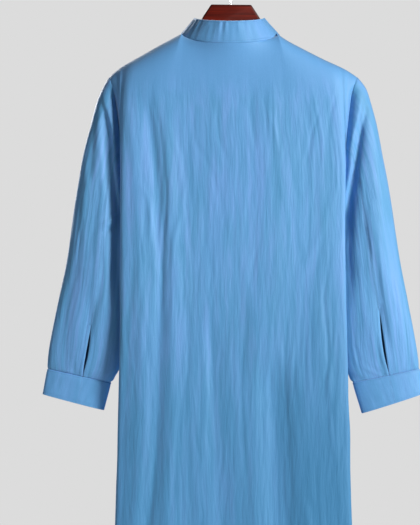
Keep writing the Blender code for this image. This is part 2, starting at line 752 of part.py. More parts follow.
def add_hanger(material):
    right = hanger_outline()
    left = [(-x, z) for x, z in right[-2:0:-1]]
    outline = right + left
    curve = bpy.data.curves.new("hanger_wood", "CURVE")
    curve.dimensions = "2D"
    curve.fill_mode = "BOTH"
    curve.extrude = WOOD_HALF_THICKNESS
    line = curve.splines.new("POLY")
    line.points.add(len(outline) - 1)
    for point, (x, z) in zip(line.points, outline):
        point.co = (x, z, 0.0, 1.0)
    line.use_cyclic_u = True
    wood = add_object("hanger_wood", curve, material)
    wood.rotation_euler = (radians(90), HANGER_TILT, 0.0)
    weld = wood.modifiers.new("weld caps", "WELD")
    weld.merge_threshold = 0.0001
    bevel = wood.modifiers.new("rounded edges", "BEVEL")
    bevel.width = WOOD_BEVEL
    bevel.segments = 2
    bevel.limit_method = "ANGLE"
    bevel.angle_limit = radians(75)
    return wood


def add_hook(material):
    """Crook open to the left, and a shank that stands on the wood."""
    radius = CROOK_INNER_RADIUS + HOOK_WIRE_RADIUS
    path = []
    for i in range(CROOK_STEPS + 1):
        turn = mix(CROOK_FROM, CROOK_TO, i / CROOK_STEPS)
        path.append((radius * cos(turn), radius * sin(turn) - CROOK_INNER_RADIUS))
    path += SHANK_BEND
    path.append((0.0, WOOD_NECK[0][1] + SEAM_GAP))
    curve = bpy.data.curves.new("hanger_hook", "CURVE")
    curve.dimensions = "3D"
    curve.bevel_depth = HOOK_WIRE_RADIUS
    curve.bevel_resolution = 2
    curve.use_fill_caps = True
    line = curve.splines.new("POLY")
    line.points.add(len(path) - 1)
    for point, (x, z) in zip(line.points, path):
        point.co = (x, 0.0, z, 1.0)
    hook = add_object("hanger_hook", curve, material)
    hook.rotation_euler = (0.0, HANGER_TILT, 0.0)
    return hook


def add_button(name, seat, normal, material):
    """Flat round button standing a seam gap off the cloth at its seat."""
    middle = seat + normal * (SEAM_GAP + 0.5 * BUTTON_THICKNESS)
    bpy.ops.mesh.primitive_cylinder_add(vertices=20, radius=BUTTON_RADIUS,
                                        depth=BUTTON_THICKNESS, location=middle)
    button = bpy.context.object
    button.name = name
    button.rotation_euler = normal.to_track_quat("Z", "Y").to_euler()
    for holder in list(button.users_collection):
        holder.objects.unlink(button)
    bpy.data.collections[OBJECT_NAME].objects.link(button)
    button.data.materials.append(material)
    bevel = button.modifiers.new("rim", "BEVEL")
    bevel.width = BUTTON_BEVEL
    bevel.segments = 1
    bevel.limit_method = "ANGLE"
    return button


def add_buttons(material):
    """One button on the collar's over end, and the rest down the outer strip."""
    seam = placed(FRONT, RIGHT, *neckline(FRONT, 0.0))
    edge = collar_top(FRONT, RIGHT, 0.0)
    up = (edge - seam).normalized()
    normal = Vector((-1.0, 0.0, 0.0)).cross(up).normalized()
    lift = 0.5 * (WALL + SEAM_GAP)
    add_button("button_collar", mix(seam, edge, 0.5) + normal * lift, normal, material)
    lift = PANEL_CLEARANCE + STRIP_WALL
    for number, level in enumerate(PLACKET_BUTTON_LEVELS, 1):
        seat = body_point(FRONT, RIGHT, 0.0, level)
        up = body_point(FRONT, RIGHT, 0.0, level + 0.02) - body_point(FRONT, RIGHT, 0.0, level - 0.02)
        normal = Vector((-1.0, 0.0, 0.0)).cross(up).normalized()
        add_button(f"button_{number}", seat + normal * lift, normal, material)


def build():
    clear_scene()
    collection = bpy.data.collections.new(OBJECT_NAME)
    bpy.context.scene.collection.children.link(collection)
    cotton = principled("blue crinkled cotton", (0.125, 0.365, 0.655), 0.85)
    lacquered_wood = principled("lacquered red-brown wood", (0.105, 0.018, 0.006), 0.30)
    steel = principled("plated steel wire", (0.62, 0.62, 0.63), 0.22, 1.0)
    resin = principled("blue resin", (0.10, 0.27, 0.48), 0.35)

    sewn = [panel("back", BACK), panel("front", FRONT), collar()]
    for side in (LEFT, RIGHT):
        sewn += [sleeve(side), cuff(side)]
    normals = shared_normals(sewn)
    for sheet in sewn:
        wall(sheet, normals, cotton)

    over = placket_strip("placket_over", PANEL_CLEARANCE + STRIP_WALL)
    under = placket_strip("placket_under", -WALL - PANEL_CLEARANCE)
    for sheet in (over, under):
        wall(sheet, shared_normals([sheet]), cotton)

    add_hanger(lacquered_wood)
    add_hook(steel)
    add_buttons(resin)


build()
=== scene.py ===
# %% [markdown]
# # A crinkled cotton nightshirt on a wooden hanger
#
# The object is a long, loose shirt seen from behind. Its cloth is a thin woven cotton that was
# washed and dried while twisted, so it keeps fine upright crinkles. The CAD model has the whole
# garment as plain walls. This lesson sews a thinner, livelier cloth over the same form.
#
# Everything is in metres. The garment's back faces -Y, its front +Y, and the origin is the
# place inside the hook where a rod carries the hanger.

# %% Load the CAD frame
from collections import namedtuple
from math import cos, pi, radians, sin

import bpy
import numpy as np
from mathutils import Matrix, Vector


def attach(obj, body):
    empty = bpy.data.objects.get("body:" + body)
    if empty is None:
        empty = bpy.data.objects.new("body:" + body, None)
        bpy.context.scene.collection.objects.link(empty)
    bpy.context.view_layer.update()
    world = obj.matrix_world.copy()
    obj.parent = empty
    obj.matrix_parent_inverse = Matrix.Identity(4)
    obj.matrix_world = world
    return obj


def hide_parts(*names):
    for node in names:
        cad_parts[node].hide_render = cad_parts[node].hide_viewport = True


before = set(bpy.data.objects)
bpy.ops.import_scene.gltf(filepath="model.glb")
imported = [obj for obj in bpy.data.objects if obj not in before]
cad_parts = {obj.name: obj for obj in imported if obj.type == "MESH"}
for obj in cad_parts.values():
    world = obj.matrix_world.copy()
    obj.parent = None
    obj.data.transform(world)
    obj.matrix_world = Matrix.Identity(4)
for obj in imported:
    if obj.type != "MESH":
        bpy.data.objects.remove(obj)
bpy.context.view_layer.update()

# %% [markdown]
# ## The camera
#
# A long lens from three metres away keeps the garment flat and calm, as in a shop picture. The
# lens follows from two sizes: how many millimetres one picture point covers at the hanger, and
# how far the camera stands from it.

# %% Camera
PHOTO_HEIGHT_PX = 525
MM_PER_PX = 1.87
CAMERA_PLACE = (-0.0402, -3.0, -0.5413)
SENSOR_MM = 36.0

camera_data = bpy.data.cameras.new("camera")
camera_data.sensor_width = SENSOR_MM
camera_data.lens = SENSOR_MM * -CAMERA_PLACE[1] * 1000.0 / (MM_PER_PX * PHOTO_HEIGHT_PX)
camera = bpy.data.objects.new("camera", camera_data)
camera.location = CAMERA_PLACE
camera.rotation_euler = (radians(90), 0.0, 0.0)
bpy.context.scene.collection.objects.link(camera)
bpy.context.scene.camera = camera
print("lens in mm:", round(camera_data.lens, 1))

# %% [markdown]
# ## Tables of the garment's form
#
# A garment can be modelled by hand, point by point, or worked out from a few sections, as a
# dressmaker draws a pattern from a few measures. The second way keeps the pieces true to each
# other at their seams. These are the CAD source's measures, but thin cloth turns more tightly
# than a plain wall, so the outer edge is sharper and the ridge on the shoulder narrower. Each
# body section gives a quarter of the way round at one height: the depth at the centre and at a
# quarter, the outer edge, and the tuck where the side seam is drawn in.

# %% Tables of the body
BACK, FRONT = -1, 1
LEFT, RIGHT = -1, 1
SIDE_NAME = {LEFT: "left", RIGHT: "right"}
HEM_Z = -1.270
UNDERARM_Z = -0.455
NECK_SIDE_Z = -0.113
SHOULDER_Z = -0.194
NECK_HALF_WIDTH = 0.092
NECK_DEPTH = {BACK: 0.058, FRONT: 0.060}
NECK_DROP = {BACK: 0.024, FRONT: 0.077}
NECK_ROUNDING = {BACK: 1.0, FRONT: 1.6}
SHOULDER_X = {LEFT: 0.2255, RIGHT: 0.2385}
SECTION_KNOTS = (0.0, 0.40, 0.80, 0.90, 0.955, 1.0)
EDGE_ROUNDING = 0.011
EDGE_SWELL = 0.009
NECK_SHARE = 0.5
CREST_SPREAD = 0.018
CREST_SPREAD_AT_NECK = 0.017
CREST_TAIL, CREST_TAIL_AT_NECK = 0.060, 0.036
CORNER_SHARE = 0.07
UNDER_COLLAR = 0.0045
NECK_SPREAD = 0.022
CREST_END = 0.35
ARMHOLE_DEPTH = 0.029
SIDE_FROM = 0.9
FOLD_END_SHARE, FOLD_END_FADE = 0.86, 0.10
HALVINGS = 30
LEAN_TOP, LEAN_LOW = -0.0040, 0.0025
LEAN_FROM_Z, LEAN_TO_Z = -0.140, -0.400


def table(names, rows):
    """A table whose columns have names, each column a list of numbers from top to bottom."""
    return namedtuple("Table", names)(*np.array(rows, float).T)


BODY = table("z centre quarter edge_x edge_y tuck_x tuck_y seam_x", [
    (-1.270, 0.050, 0.052, 0.226, 0.034, 0.221, 0.014, 0.214),
    (-1.027, 0.049, 0.050, 0.219, 0.036, 0.211, 0.014, 0.203),
    (-0.740, 0.048, 0.049, 0.212, 0.038, 0.199, 0.016, 0.190),
    (-0.560, 0.048, 0.048, 0.208, 0.038, 0.192, 0.017, 0.182),
    (-0.455, 0.048, 0.047, 0.208, 0.036, 0.194, 0.016, 0.186),
])
SHOULDER = table("along left right", [
    (0.00, -0.1130, -0.1135), (0.13, -0.1225, -0.1265), (0.28, -0.1335, -0.1385),
    (0.58, -0.1568, -0.1615), (0.84, -0.1768, -0.1793), (1.00, SHOULDER_Z, SHOULDER_Z),
])
ARMHOLE = table("rise left right", [
    (0.000, 0.1860, 0.1860), (0.067, 0.1930, 0.1930), (0.146, 0.1990, 0.1990),
    (0.250, 0.2035, 0.2045), (0.500, 0.2075, 0.2115), (0.720, 0.2115, 0.2195),
    (0.900, 0.2180, 0.2280), (1.000, SHOULDER_X[LEFT], SHOULDER_X[RIGHT]),
])
print("body sections:", len(BODY.z), "from", BODY.z[0], "to", BODY.z[-1])

# %% [markdown]
# ## Smooth curves through the tables
#
# A table gives a few places only, and the cloth needs thousands. A Hermite curve goes through
# every value with an even slope, so nothing kinks between two rows of a table. numpy works it
# out for a whole grid of points in one go, which keeps the script fast.

# %% Curves through tables
def mix(a, b, share):
    return a + (b - a) * share


def ease(t):
    """Smooth step from 0 to 1 while t goes from 0 to 1."""
    t = np.clip(t, 0.0, 1.0)
    return t * t * (3.0 - 2.0 * t)


def spline_weights(knots, at):
    """How much each table value counts at each place, for a smooth curve through them all."""
    knots = np.asarray(knots, float)
    at = np.clip(at, knots[0], knots[-1])
    last = len(knots) - 1
    number = np.arange(last + 1)
    before, after = np.maximum(number - 1, 0), np.minimum(number + 1, last)
    one = np.eye(last + 1)
    slope = (one[after] - one[before]) / (knots[after] - knots[before])[:, None]
    i = np.clip(np.searchsorted(knots, at, side="right") - 1, 0, last - 1)
    span = (knots[i + 1] - knots[i])[..., None]
    t = (at - knots[i])[..., None] / span
    start = (1 + 2 * t) * (1 - t) ** 2 * one[i] + t * (1 - t) ** 2 * span * slope[i]
    end = t * t * (3 - 2 * t) * one[i + 1] - t * t * (1 - t) * span * slope[i + 1]
    return start + end


def through(knots, values, at):
    return spline_weights(knots, at) @ np.asarray(values, float)


print("half width at the hem in mm:", round(1000 * through(BODY.z, BODY.edge_x, HEM_Z), 1))

# %% [markdown]
# ## Large folds
#
# Hanging cloth keeps a few large folds that run from the shoulders to the hem. Each fold is a
# line that wanders down one face, with a height, which is negative in a trough, and a width.
# The CAD model has them too, because they change the form and not just the surface. Those of
# the back are drawn shallower and a little aside here, after the light in the photograph.

# %% Table of large folds
Fold = namedtuple("Fold", "face height half_width zs xs")
FOLD_FADE = 0.090
FOLD_SHARPNESS = 1.5
BODY_FOLDS = (
    Fold(BACK, -0.0038, 0.014,
         (-0.2138, -0.3337, -0.4260, -0.5404, -0.7396, -0.8872, -1.0256, -1.300),
         (-0.1592, -0.1444, -0.1352, -0.1315, -0.1352, -0.1408, -0.1555, -0.172)),
    Fold(BACK, 0.0018, 0.014, (-0.230, -0.400, -0.600, -0.900, -1.300),
         (-0.190, -0.176, -0.167, -0.176, -0.200)),
    Fold(BACK, 0.0022, 0.017, (-0.260, -0.400, -0.600, -0.900, -1.300),
         (-0.122, -0.112, -0.107, -0.112, -0.132)),
    Fold(BACK, -0.0032, 0.024, (-0.620, -0.780, -0.900, -1.030, -1.300),
         (-0.034, -0.030, -0.026, -0.020, -0.008)),
    Fold(BACK, -0.0080, 0.040, (-0.700, -0.860, -0.950, -1.030, -1.300),
         (0.074, 0.080, 0.086, 0.094, 0.110)),
    Fold(BACK, 0.0022, 0.026, (-0.560, -0.700, -0.860, -1.030, -1.300),
         (0.046, 0.048, 0.050, 0.054, 0.064)),
    Fold(FRONT, -0.0060, 0.022, (-0.220, -0.360, -0.560, -0.900, -1.300),
         (0.138, 0.126, 0.116, 0.124, 0.150)),
    Fold(FRONT, 0.0030, 0.024, (-0.260, -0.420, -0.600, -0.900, -1.300),
         (0.092, 0.086, 0.080, 0.088, 0.104)),
    Fold(FRONT, -0.0050, 0.028, (-0.480, -0.640, -0.800, -1.000, -1.300),
         (-0.104, -0.110, -0.118, -0.130, -0.152)),
    Fold(FRONT, -0.0040, 0.026, (-0.640, -0.760, -0.900, -1.050, -1.300),
         (0.006, 0.002, -0.006, -0.014, -0.024)),
)
SLEEVE_FOLDS = (
    Fold(BACK, -0.0080, 0.014, (-0.215, -0.260, -0.330, -0.440, -0.640),
         (-0.243, -0.232, -0.222, -0.216, -0.214)),
    Fold(BACK, -0.0080, 0.014, (-0.215, -0.260, -0.330, -0.440, -0.640),
         (0.259, 0.247, 0.233, 0.220, 0.214)),
    Fold(BACK, -0.0045, 0.016, (-0.560, -0.600, -0.650, -0.700, -0.740),
         (-0.252, -0.258, -0.266, -0.272, -0.278)),
    Fold(BACK, -0.0045, 0.016, (-0.520, -0.580, -0.640, -0.700, -0.740),
         (0.262, 0.270, 0.280, 0.288, 0.293)),
    Fold(FRONT, -0.0070, 0.016, (-0.225, -0.290, -0.370, -0.470, -0.620),
         (-0.246, -0.234, -0.226, -0.222, -0.226)),
    Fold(FRONT, -0.0070, 0.016, (-0.225, -0.290, -0.370, -0.470, -0.620),
         (0.262, 0.246, 0.234, 0.226, 0.228)),
)


def fold_height(folds, face, x, z):
    total = np.zeros(np.shape(x))
    for fold in folds:
        facing = face == fold.face
        away = (x - through([-height for height in fold.zs], fold.xs, -z)) / fold.half_width
        ends = ease((fold.zs[0] - z) / FOLD_FADE)
        if fold.zs[-1] > HEM_Z:
            ends = ends * ease((z - fold.zs[-1]) / FOLD_FADE)
        total = total + facing * fold.height * ends * np.exp(-away * away * FOLD_SHARPNESS)
    return total


print("large folds:", len(BODY_FOLDS), "on the body and", len(SLEEVE_FOLDS), "on the sleeves")

# %% [markdown]
# ## The body's surface
#
# A panel is addressed by two numbers. The share s goes from 0 at the centre to 1 at the side
# seam, and the level goes from -1 at the hem through 0 at the underarm to 1 at the top edge.
# The neckline and the shoulder line close the panel at the top, where the two faces meet in
# a soft ridge over the hanger.

# %% Body surface
def lean(z):
    """Sideways shift of the hanging garment at a height."""
    return mix(LEAN_TOP, LEAN_LOW, ease((LEAN_FROM_Z - z) / (LEAN_FROM_Z - LEAN_TO_Z)))


def placed(face, side, x, depth, z):
    return np.stack(np.broadcast_arrays(side * x + lean(z), face * depth, z), axis=-1)


def neckline(face, s, inset=0.0):
    turn = 0.5 * pi * s / NECK_SHARE
    forward = np.maximum(np.cos(turn), 0.0)
    height = NECK_SIDE_Z - NECK_DROP[face] * forward ** NECK_ROUNDING[face]
    return (NECK_HALF_WIDTH - inset) * np.sin(turn), NECK_DEPTH[face] * forward, height


def top_edge(face, side, s):
    on_neck = s <= NECK_SHARE
    neck_x, neck_depth, neck_z = neckline(face, np.minimum(s, NECK_SHARE), UNDER_COLLAR)
    along = np.maximum(s - NECK_SHARE, 0.0) / (1.0 - NECK_SHARE)
    shoulder_z = through(SHOULDER.along, getattr(SHOULDER, SIDE_NAME[side]), along)
    x = np.where(on_neck, neck_x, mix(NECK_HALF_WIDTH - UNDER_COLLAR, SHOULDER_X[side], along))
    return x, np.where(on_neck, neck_depth, 0.0), np.where(on_neck, neck_z, shoulder_z)


def armhole_x(side, rise):
    return through(ARMHOLE.rise, getattr(ARMHOLE, SIDE_NAME[side]), rise)


def crest(s, below, rise):
    """One at the top edge and zero at the underarm: a round ridge on the shoulder."""
    soft = np.exp(-below / NECK_SPREAD)
    past_neck = (s - NECK_SHARE) / (1.0 - NECK_SHARE)
    spread = mix(CREST_SPREAD_AT_NECK, CREST_SPREAD, ease(past_neck))
    tail = mix(CREST_TAIL_AT_NECK, CREST_TAIL, ease(2.0 * past_neck))
    sharp = np.exp(-np.sqrt(np.maximum(below, 0.0) / spread) - below / tail)
    return mix(soft, sharp, ease(s / NECK_SHARE)) * ease(rise / CREST_END)


def body_local(face, side, s, level):
    """Distance from the centre, depth and height of places on a panel."""
    s, level = np.broadcast_arrays(np.asarray(s, float), np.asarray(level, float))
    low, rise = np.minimum(level, 0.0), np.maximum(level, 0.0)
    top_x, top_depth, top_z = top_edge(face, side, s)
    full = top_z - UNDERARM_Z
    low_z = UNDERARM_Z + low * (UNDERARM_Z - HEM_Z)
    z = low_z + rise * full
    row = BODY._make([low_z] + [through(BODY.z, column, low_z) for column in BODY[1:]])
    flat_x = row.edge_x - EDGE_ROUNDING
    nothing = np.zeros_like(low_z)
    across = spline_weights(SECTION_KNOTS, s)
    xs = np.stack([nothing, 0.5 * flat_x, flat_x, row.edge_x, row.tuck_x, row.seam_x], axis=-1)
    depths = np.stack([row.centre, row.quarter, row.edge_y + EDGE_SWELL, row.edge_y, row.tuck_y,
                       nothing], axis=-1)
    x, depth = (across * xs).sum(axis=-1), (across * depths).sum(axis=-1)
    toward_seam = np.maximum(0.0, (s - SIDE_FROM) / (1.0 - SIDE_FROM))
    high_x = x + toward_seam * (armhole_x(side, 1.0) - armhole_x(side, 0.0))
    x = x + toward_seam * (armhole_x(side, rise) - armhole_x(side, 0.0))
    x = x + (top_x - high_x) * rise ** 3
    round_part = np.where(rise < 0.5, np.sin(np.arccos(1.0 - 2.0 * np.minimum(rise, 0.5))), 1.0)
    depth = depth + toward_seam * ARMHOLE_DEPTH * round_part
    # The ridge follows an average of nearby heights, which rounds the neckline's corner.
    nearby = [top_edge(face, side, np.clip(s + step * CORNER_SHARE, 0.0, 1.0))[2]
              for step in (-1.0, -0.5, 0.0, 0.5, 1.0)]
    opened = 1.0 - crest(s, (1.0 - rise) * (sum(nearby) / len(nearby) - UNDERARM_Z), rise)
    depth = mix(top_depth, depth, opened)
    fade = opened * (1.0 - ease((s - FOLD_END_SHARE) / FOLD_END_FADE))
    depth = depth + fade * fold_height(BODY_FOLDS, face, side * x + lean(z), z)
    return x, depth, z


def body_points(face, side, s, level):
    return placed(face, side, *body_local(face, side, s, level))


def share_at(face, side, x, level):
    """Share s at which each row of a panel passes a distance from the centre."""
    low, high = np.zeros(np.shape(level)), np.full(np.shape(level), NECK_SHARE)
    for _ in range(HALVINGS):
        middle = 0.5 * (low + high)
        short = body_local(face, side, middle, level)[0] < x
        low, high = np.where(short, middle, low), np.where(short, high, middle)
    return low


side_seam = body_points(BACK, RIGHT, 1.0, 0.0)
print("underarm in mm:", np.round(1000 * side_seam, 1))

# %% [markdown]
# ## Creases and crinkles
#
# Three sizes of crease lie on this cloth. The large folds are above. Long soft creases come
# next, and the ones that the eye finds first are listed one by one, each with its own depth and
# width in millimetres and a wandering path. A crease isn't a plain groove: as the cloth sinks
# in its middle, it rises a little on both sides, and the curve (1 - q) exp(-q) does both.

# %% Listed creases
Crease = namedtuple("Crease", "height_mm half_width_mm path_mm")
BACK_CREASES = (
    Crease(-1.5, 5, ((-154, -205), (-145, -242), (-130, -316), (-123, -426), (-127, -540),
                     (-130, -666))),
    Crease(1.1, 7, ((-119, -275), (-95, -362), (-92, -445), (-106, -500), (-103, -592))),
    Crease(1.4, 7, ((-180, -386), (-156, -417), (-147, -491), (-138, -592))),
    Crease(-0.6, 7, ((-68, -237), (-66, -320), (-46, -353), (-29, -399), (-18, -445),
                     (-9, -528))),
    Crease(-0.8, 6, ((-27, -246), (-24, -307), (-3, -367))),
    Crease(-0.7, 6, ((43, -215), (33, -261), (43, -334))),
    Crease(0.8, 7, ((79, -205), (70, -261), (83, -320), (90, -380))),
    Crease(-1.1, 5, ((166, -246), (147, -307), (135, -367))),
    Crease(-1.0, 5, ((201, -209), (184, -261), (175, -325))),
    Crease(0.8, 11, ((201, -384), (171, -463), (157, -500), (135, -546), (116, -596))),
    Crease(-0.8, 6, ((46, -500), (33, -592))),
    Crease(-1.4, 5, ((179, -528), (170, -610), (177, -702), (168, -794), (171, -840))),
    Crease(-0.9, 6, ((107, -610), (96, -721), (101, -831), (111, -1015))),
    Crease(0.9, 8, ((-59, -656), (-48, -758), (-51, -868), (-64, -1024))),
    Crease(-0.8, 6, ((26, -656), (15, -758), (21, -850), (28, -988))),
    Crease(-1.0, 7, ((-171, -610), (-152, -721), (-151, -831), (-167, -1024))),
    Crease(0.8, 7, ((70, -702), (63, -794), (70, -923))),
    Crease(-0.9, 6, ((-84, -610), (-79, -702), (-88, -813))),
    Crease(1.0, 7, ((195, -610), (199, -721), (193, -868), (201, -1015))),
    Crease(-0.8, 6, ((-33, -592), (-40, -666), (-35, -776))),
    Crease(0.9, 7, ((-193, -610), (-186, -739), (-191, -886), (-198, -1024))),
    Crease(-0.9, 6, ((-99, -831), (-106, -923), (-114, -1043))),
    Crease(-1.2, 9, ((150, -980), (158, -1090), (170, -1268))),
    Crease(1.1, 8, ((40, -960), (48, -1080), (52, -1268))),
    Crease(-1.0, 8, ((-60, -1000), (-66, -1100), (-70, -1268))),
)
FRONT_CREASES = (
    Crease(-1.3, 6, ((148, -230), (132, -300), (126, -420), (128, -560), (133, -690))),
    Crease(1.1, 7, ((104, -270), (96, -360), (88, -450), (94, -540))),
    Crease(-0.9, 6, ((66, -260), (60, -340), (46, -420), (50, -520), (44, -600))),
    Crease(1.2, 7, ((-184, -330), (-166, -420), (-150, -500), (-128, -590))),
    Crease(-1.0, 6, ((-158, -240), (-140, -320), (-134, -400))),
    Crease(-0.8, 6, ((-96, -250), (-88, -330), (-94, -420), (-84, -520))),
    Crease(0.9, 7, ((-58, -280), (-50, -380), (-58, -470))),
    Crease(-1.2, 5, ((-178, -540), (-168, -640), (-176, -740), (-170, -850))),
    Crease(-0.9, 6, ((92, -620), (100, -730), (94, -850), (104, -1020))),
    Crease(0.9, 8, ((54, -640), (44, -760), (50, -880), (60, -1040))),
    Crease(-0.9, 7, ((-36, -560), (-28, -680), (-38, -800), (-30, -960))),
    Crease(-1.0, 7, ((172, -600), (156, -720), (158, -850), (170, -1030))),
    Crease(0.8, 7, ((-76, -690), (-66, -800), (-74, -940))),
    Crease(1.0, 7, ((-196, -620), (-198, -740), (-192, -880), (-200, -1010))),
    Crease(-1.1, 9, ((-120, -930), (-136, -1080), (-150, -1268))),
    Crease(1.0, 8, ((20, -900), (26, -1060), (30, -1268))),
    Crease(-1.0, 8, ((120, -1000), (130, -1120), (138, -1268))),
)
MM = 0.001
HILLS = 128
CREASE_DEPTH = 0.75
CREASE_WAVER, CREASE_WAVER_LONG = 0.0016, 0.019
WIDTH_AT_TOP, WIDTH_AT_FOOT = 0.8, 1.3


def hills(x, y, seed):
    """Smooth random heights from -1 to 1, about one hill in each unit square."""
    heights = np.random.default_rng(seed).uniform(-1.0, 1.0, (HILLS, HILLS))
    column, row = np.floor(x).astype(int), np.floor(y).astype(int)
    left, right, above, below = (n % HILLS for n in (column, column + 1, row, row + 1))
    across, down = ease(x - column), ease(y - row)
    upper = mix(heights[above, left], heights[above, right], across)
    lower = mix(heights[below, left], heights[below, right], across)
    return mix(upper, lower, down)


def crease_height(creases, x, z):
    total = np.zeros(np.shape(x))
    for number, crease in enumerate(creases):
        path = np.array(crease.path_mm, float) * MM
        falls = -path[:, 1]
        down = np.clip((-z - falls[0]) / (falls[-1] - falls[0]), 0.0, 1.0)
        centre = through(falls, path[:, 0], -z)
        waver = hills(np.full(np.shape(z), 7.3 * number), -z / CREASE_WAVER_LONG, 5)
        width = crease.half_width_mm * MM * mix(WIDTH_AT_TOP, WIDTH_AT_FOOT, down)
        q = ((x - centre - CREASE_WAVER * waver) / width) ** 2
        total += (CREASE_DEPTH * crease.height_mm * MM * np.sin(pi * down) ** 0.7
                  * (1.0 - q) * np.exp(-q))
    return total


print("hand-placed creases:", len(BACK_CREASES), "on the back,", len(FRONT_CREASES), "in front")

# %% [markdown]
# The finest creases are the crinkles that the cloth was made with. They are upright, some ten
# millimetres apart, and nearly ten centimetres long, and no two are alike. Smooth random hills,
# stretched ten times longer than wide and shifted sideways by slower hills, give such
# a field. Taking the distance from zero turns each place where the hills change sign into
# a thin valley, which is how pressed cotton looks. The random numbers have fixed seeds, so
# the cloth is the same each time.

# %% Crinkle field
CRINKLE_APART = 0.0100
CRINKLE_LONG = 0.095
CRINKLE_HEIGHT = 0.00075


Ripple = namedtuple("Ripple", "height wide long")
SLOW_BEND = Ripple(0.008, 0.080, 0.170)
QUICK_BEND = Ripple(0.0024, 0.030, 0.060)
VALLEYS = Ripple(1.3, CRINKLE_APART, CRINKLE_LONG)
PLEATS = Ripple(0.8, 1.9 * CRINKLE_APART, 1.4 * CRINKLE_LONG)
FINE = Ripple(0.35, 0.5 * CRINKLE_APART, 0.5 * CRINKLE_LONG)
BROAD = Ripple(0.9, 0.040, 0.26)
UNEVEN = Ripple(0.40, 0.07, 0.12)
MEAN_STRENGTH, MEAN_RELIEF = 0.60, 0.55


def ripples(ripple, u, v, seed):
    """Smooth random waves of one size, at places across and down the cloth."""
    return ripple.height * hills(u / ripple.wide, v / ripple.long, seed)


def crinkle(u, v, seed):
    """Height of the crinkles at cloth coordinates: u across and v down, in metres."""
    bent = u + ripples(SLOW_BEND, u, v, seed) + ripples(QUICK_BEND, u, v, seed + 1)
    relief = np.abs(ripples(VALLEYS, bent, v, seed + 2)) - MEAN_RELIEF
    relief = relief + ripples(PLEATS, bent, v, seed + 3) + ripples(FINE, bent, v, seed + 6)
    strength = MEAN_STRENGTH + ripples(UNEVEN, u, v, seed + 5)
    return CRINKLE_HEIGHT * (strength * relief + ripples(BROAD, bent, v, seed + 4))


sample = crinkle(*np.meshgrid(np.linspace(0, 0.3, 300), np.linspace(0, 0.5, 200)), 7)
print("crinkle heights in mm:", np.round(1000 * np.percentile(sample, (5, 50, 95)), 2))

# %% [markdown]
# ## From a grid of points to thin cloth
#
# A flat sheet has no thickness, and an edge without thickness looks like paper. So each piece
# gets an outer layer, an inner layer a cloth's thickness below it, and a rounded rim between
# them. The rim's middle row bulges out a little, as folded and stitched cloth does. Blender's
# Solidify modifier makes the layers too, but not the bulge. Each piece also keeps its place
# across and down the cloth, for the patterns of the cotton, which is made in the next cells.

# %% Cloth maker
CLOTH_THICKNESS = 0.0008
DOUBLED_THICKNESS = 0.0016
PRESSED = 0.45
RIM_BULGE = 0.35


def unit(vectors):
    return vectors / np.maximum(np.linalg.norm(vectors, axis=-1), 1e-12)[..., None]


def point_normals(points, quads):
    a, b, c, d = (points[quads[:, k]] for k in range(4))
    facing = np.cross(c - a, d - b)
    total = np.zeros_like(points)
    for k in range(4):
        np.add.at(total, quads[:, k], facing)
    return unit(total)


def grid_numbers(points):
    return np.arange(points.shape[0] * points.shape[1]).reshape(points.shape[:2])


def grid_quads(numbers, wanted=True):
    """Quads between the rows of a grid of point numbers, where wanted says so."""
    corners = [numbers[:-1, :-1], numbers[:-1, 1:], numbers[1:, 1:], numbers[1:, :-1]]
    quads = np.stack(corners, axis=-1)
    return quads[np.broadcast_to(wanted, quads.shape[:2])]


def rim_edges(quads):
    """Edges that only one quad has, in the quad's own order."""
    edges = np.concatenate([quads[:, [k, (k + 1) % 4]] for k in range(4)])
    same = np.sort(edges, axis=1) @ np.array([quads.max() + 1, 1])
    _, first, count = np.unique(same, return_index=True, return_counts=True)
    return edges[first[count == 1]]


def new_mesh(name, points, faces):
    mesh = bpy.data.meshes.new(name)
    mesh.from_pydata(points, [], faces)
    return mesh


def add_object(name, data, material=None):
    thing = bpy.data.objects.new(name, data)
    bpy.context.scene.collection.objects.link(thing)
    if material is not None:
        data.materials.append(material)
    return thing


def single_area(piece):
    """Area of one layer of a thin piece, in square metres."""
    return 0.5 * sum(face.area for face in piece.data.polygons)


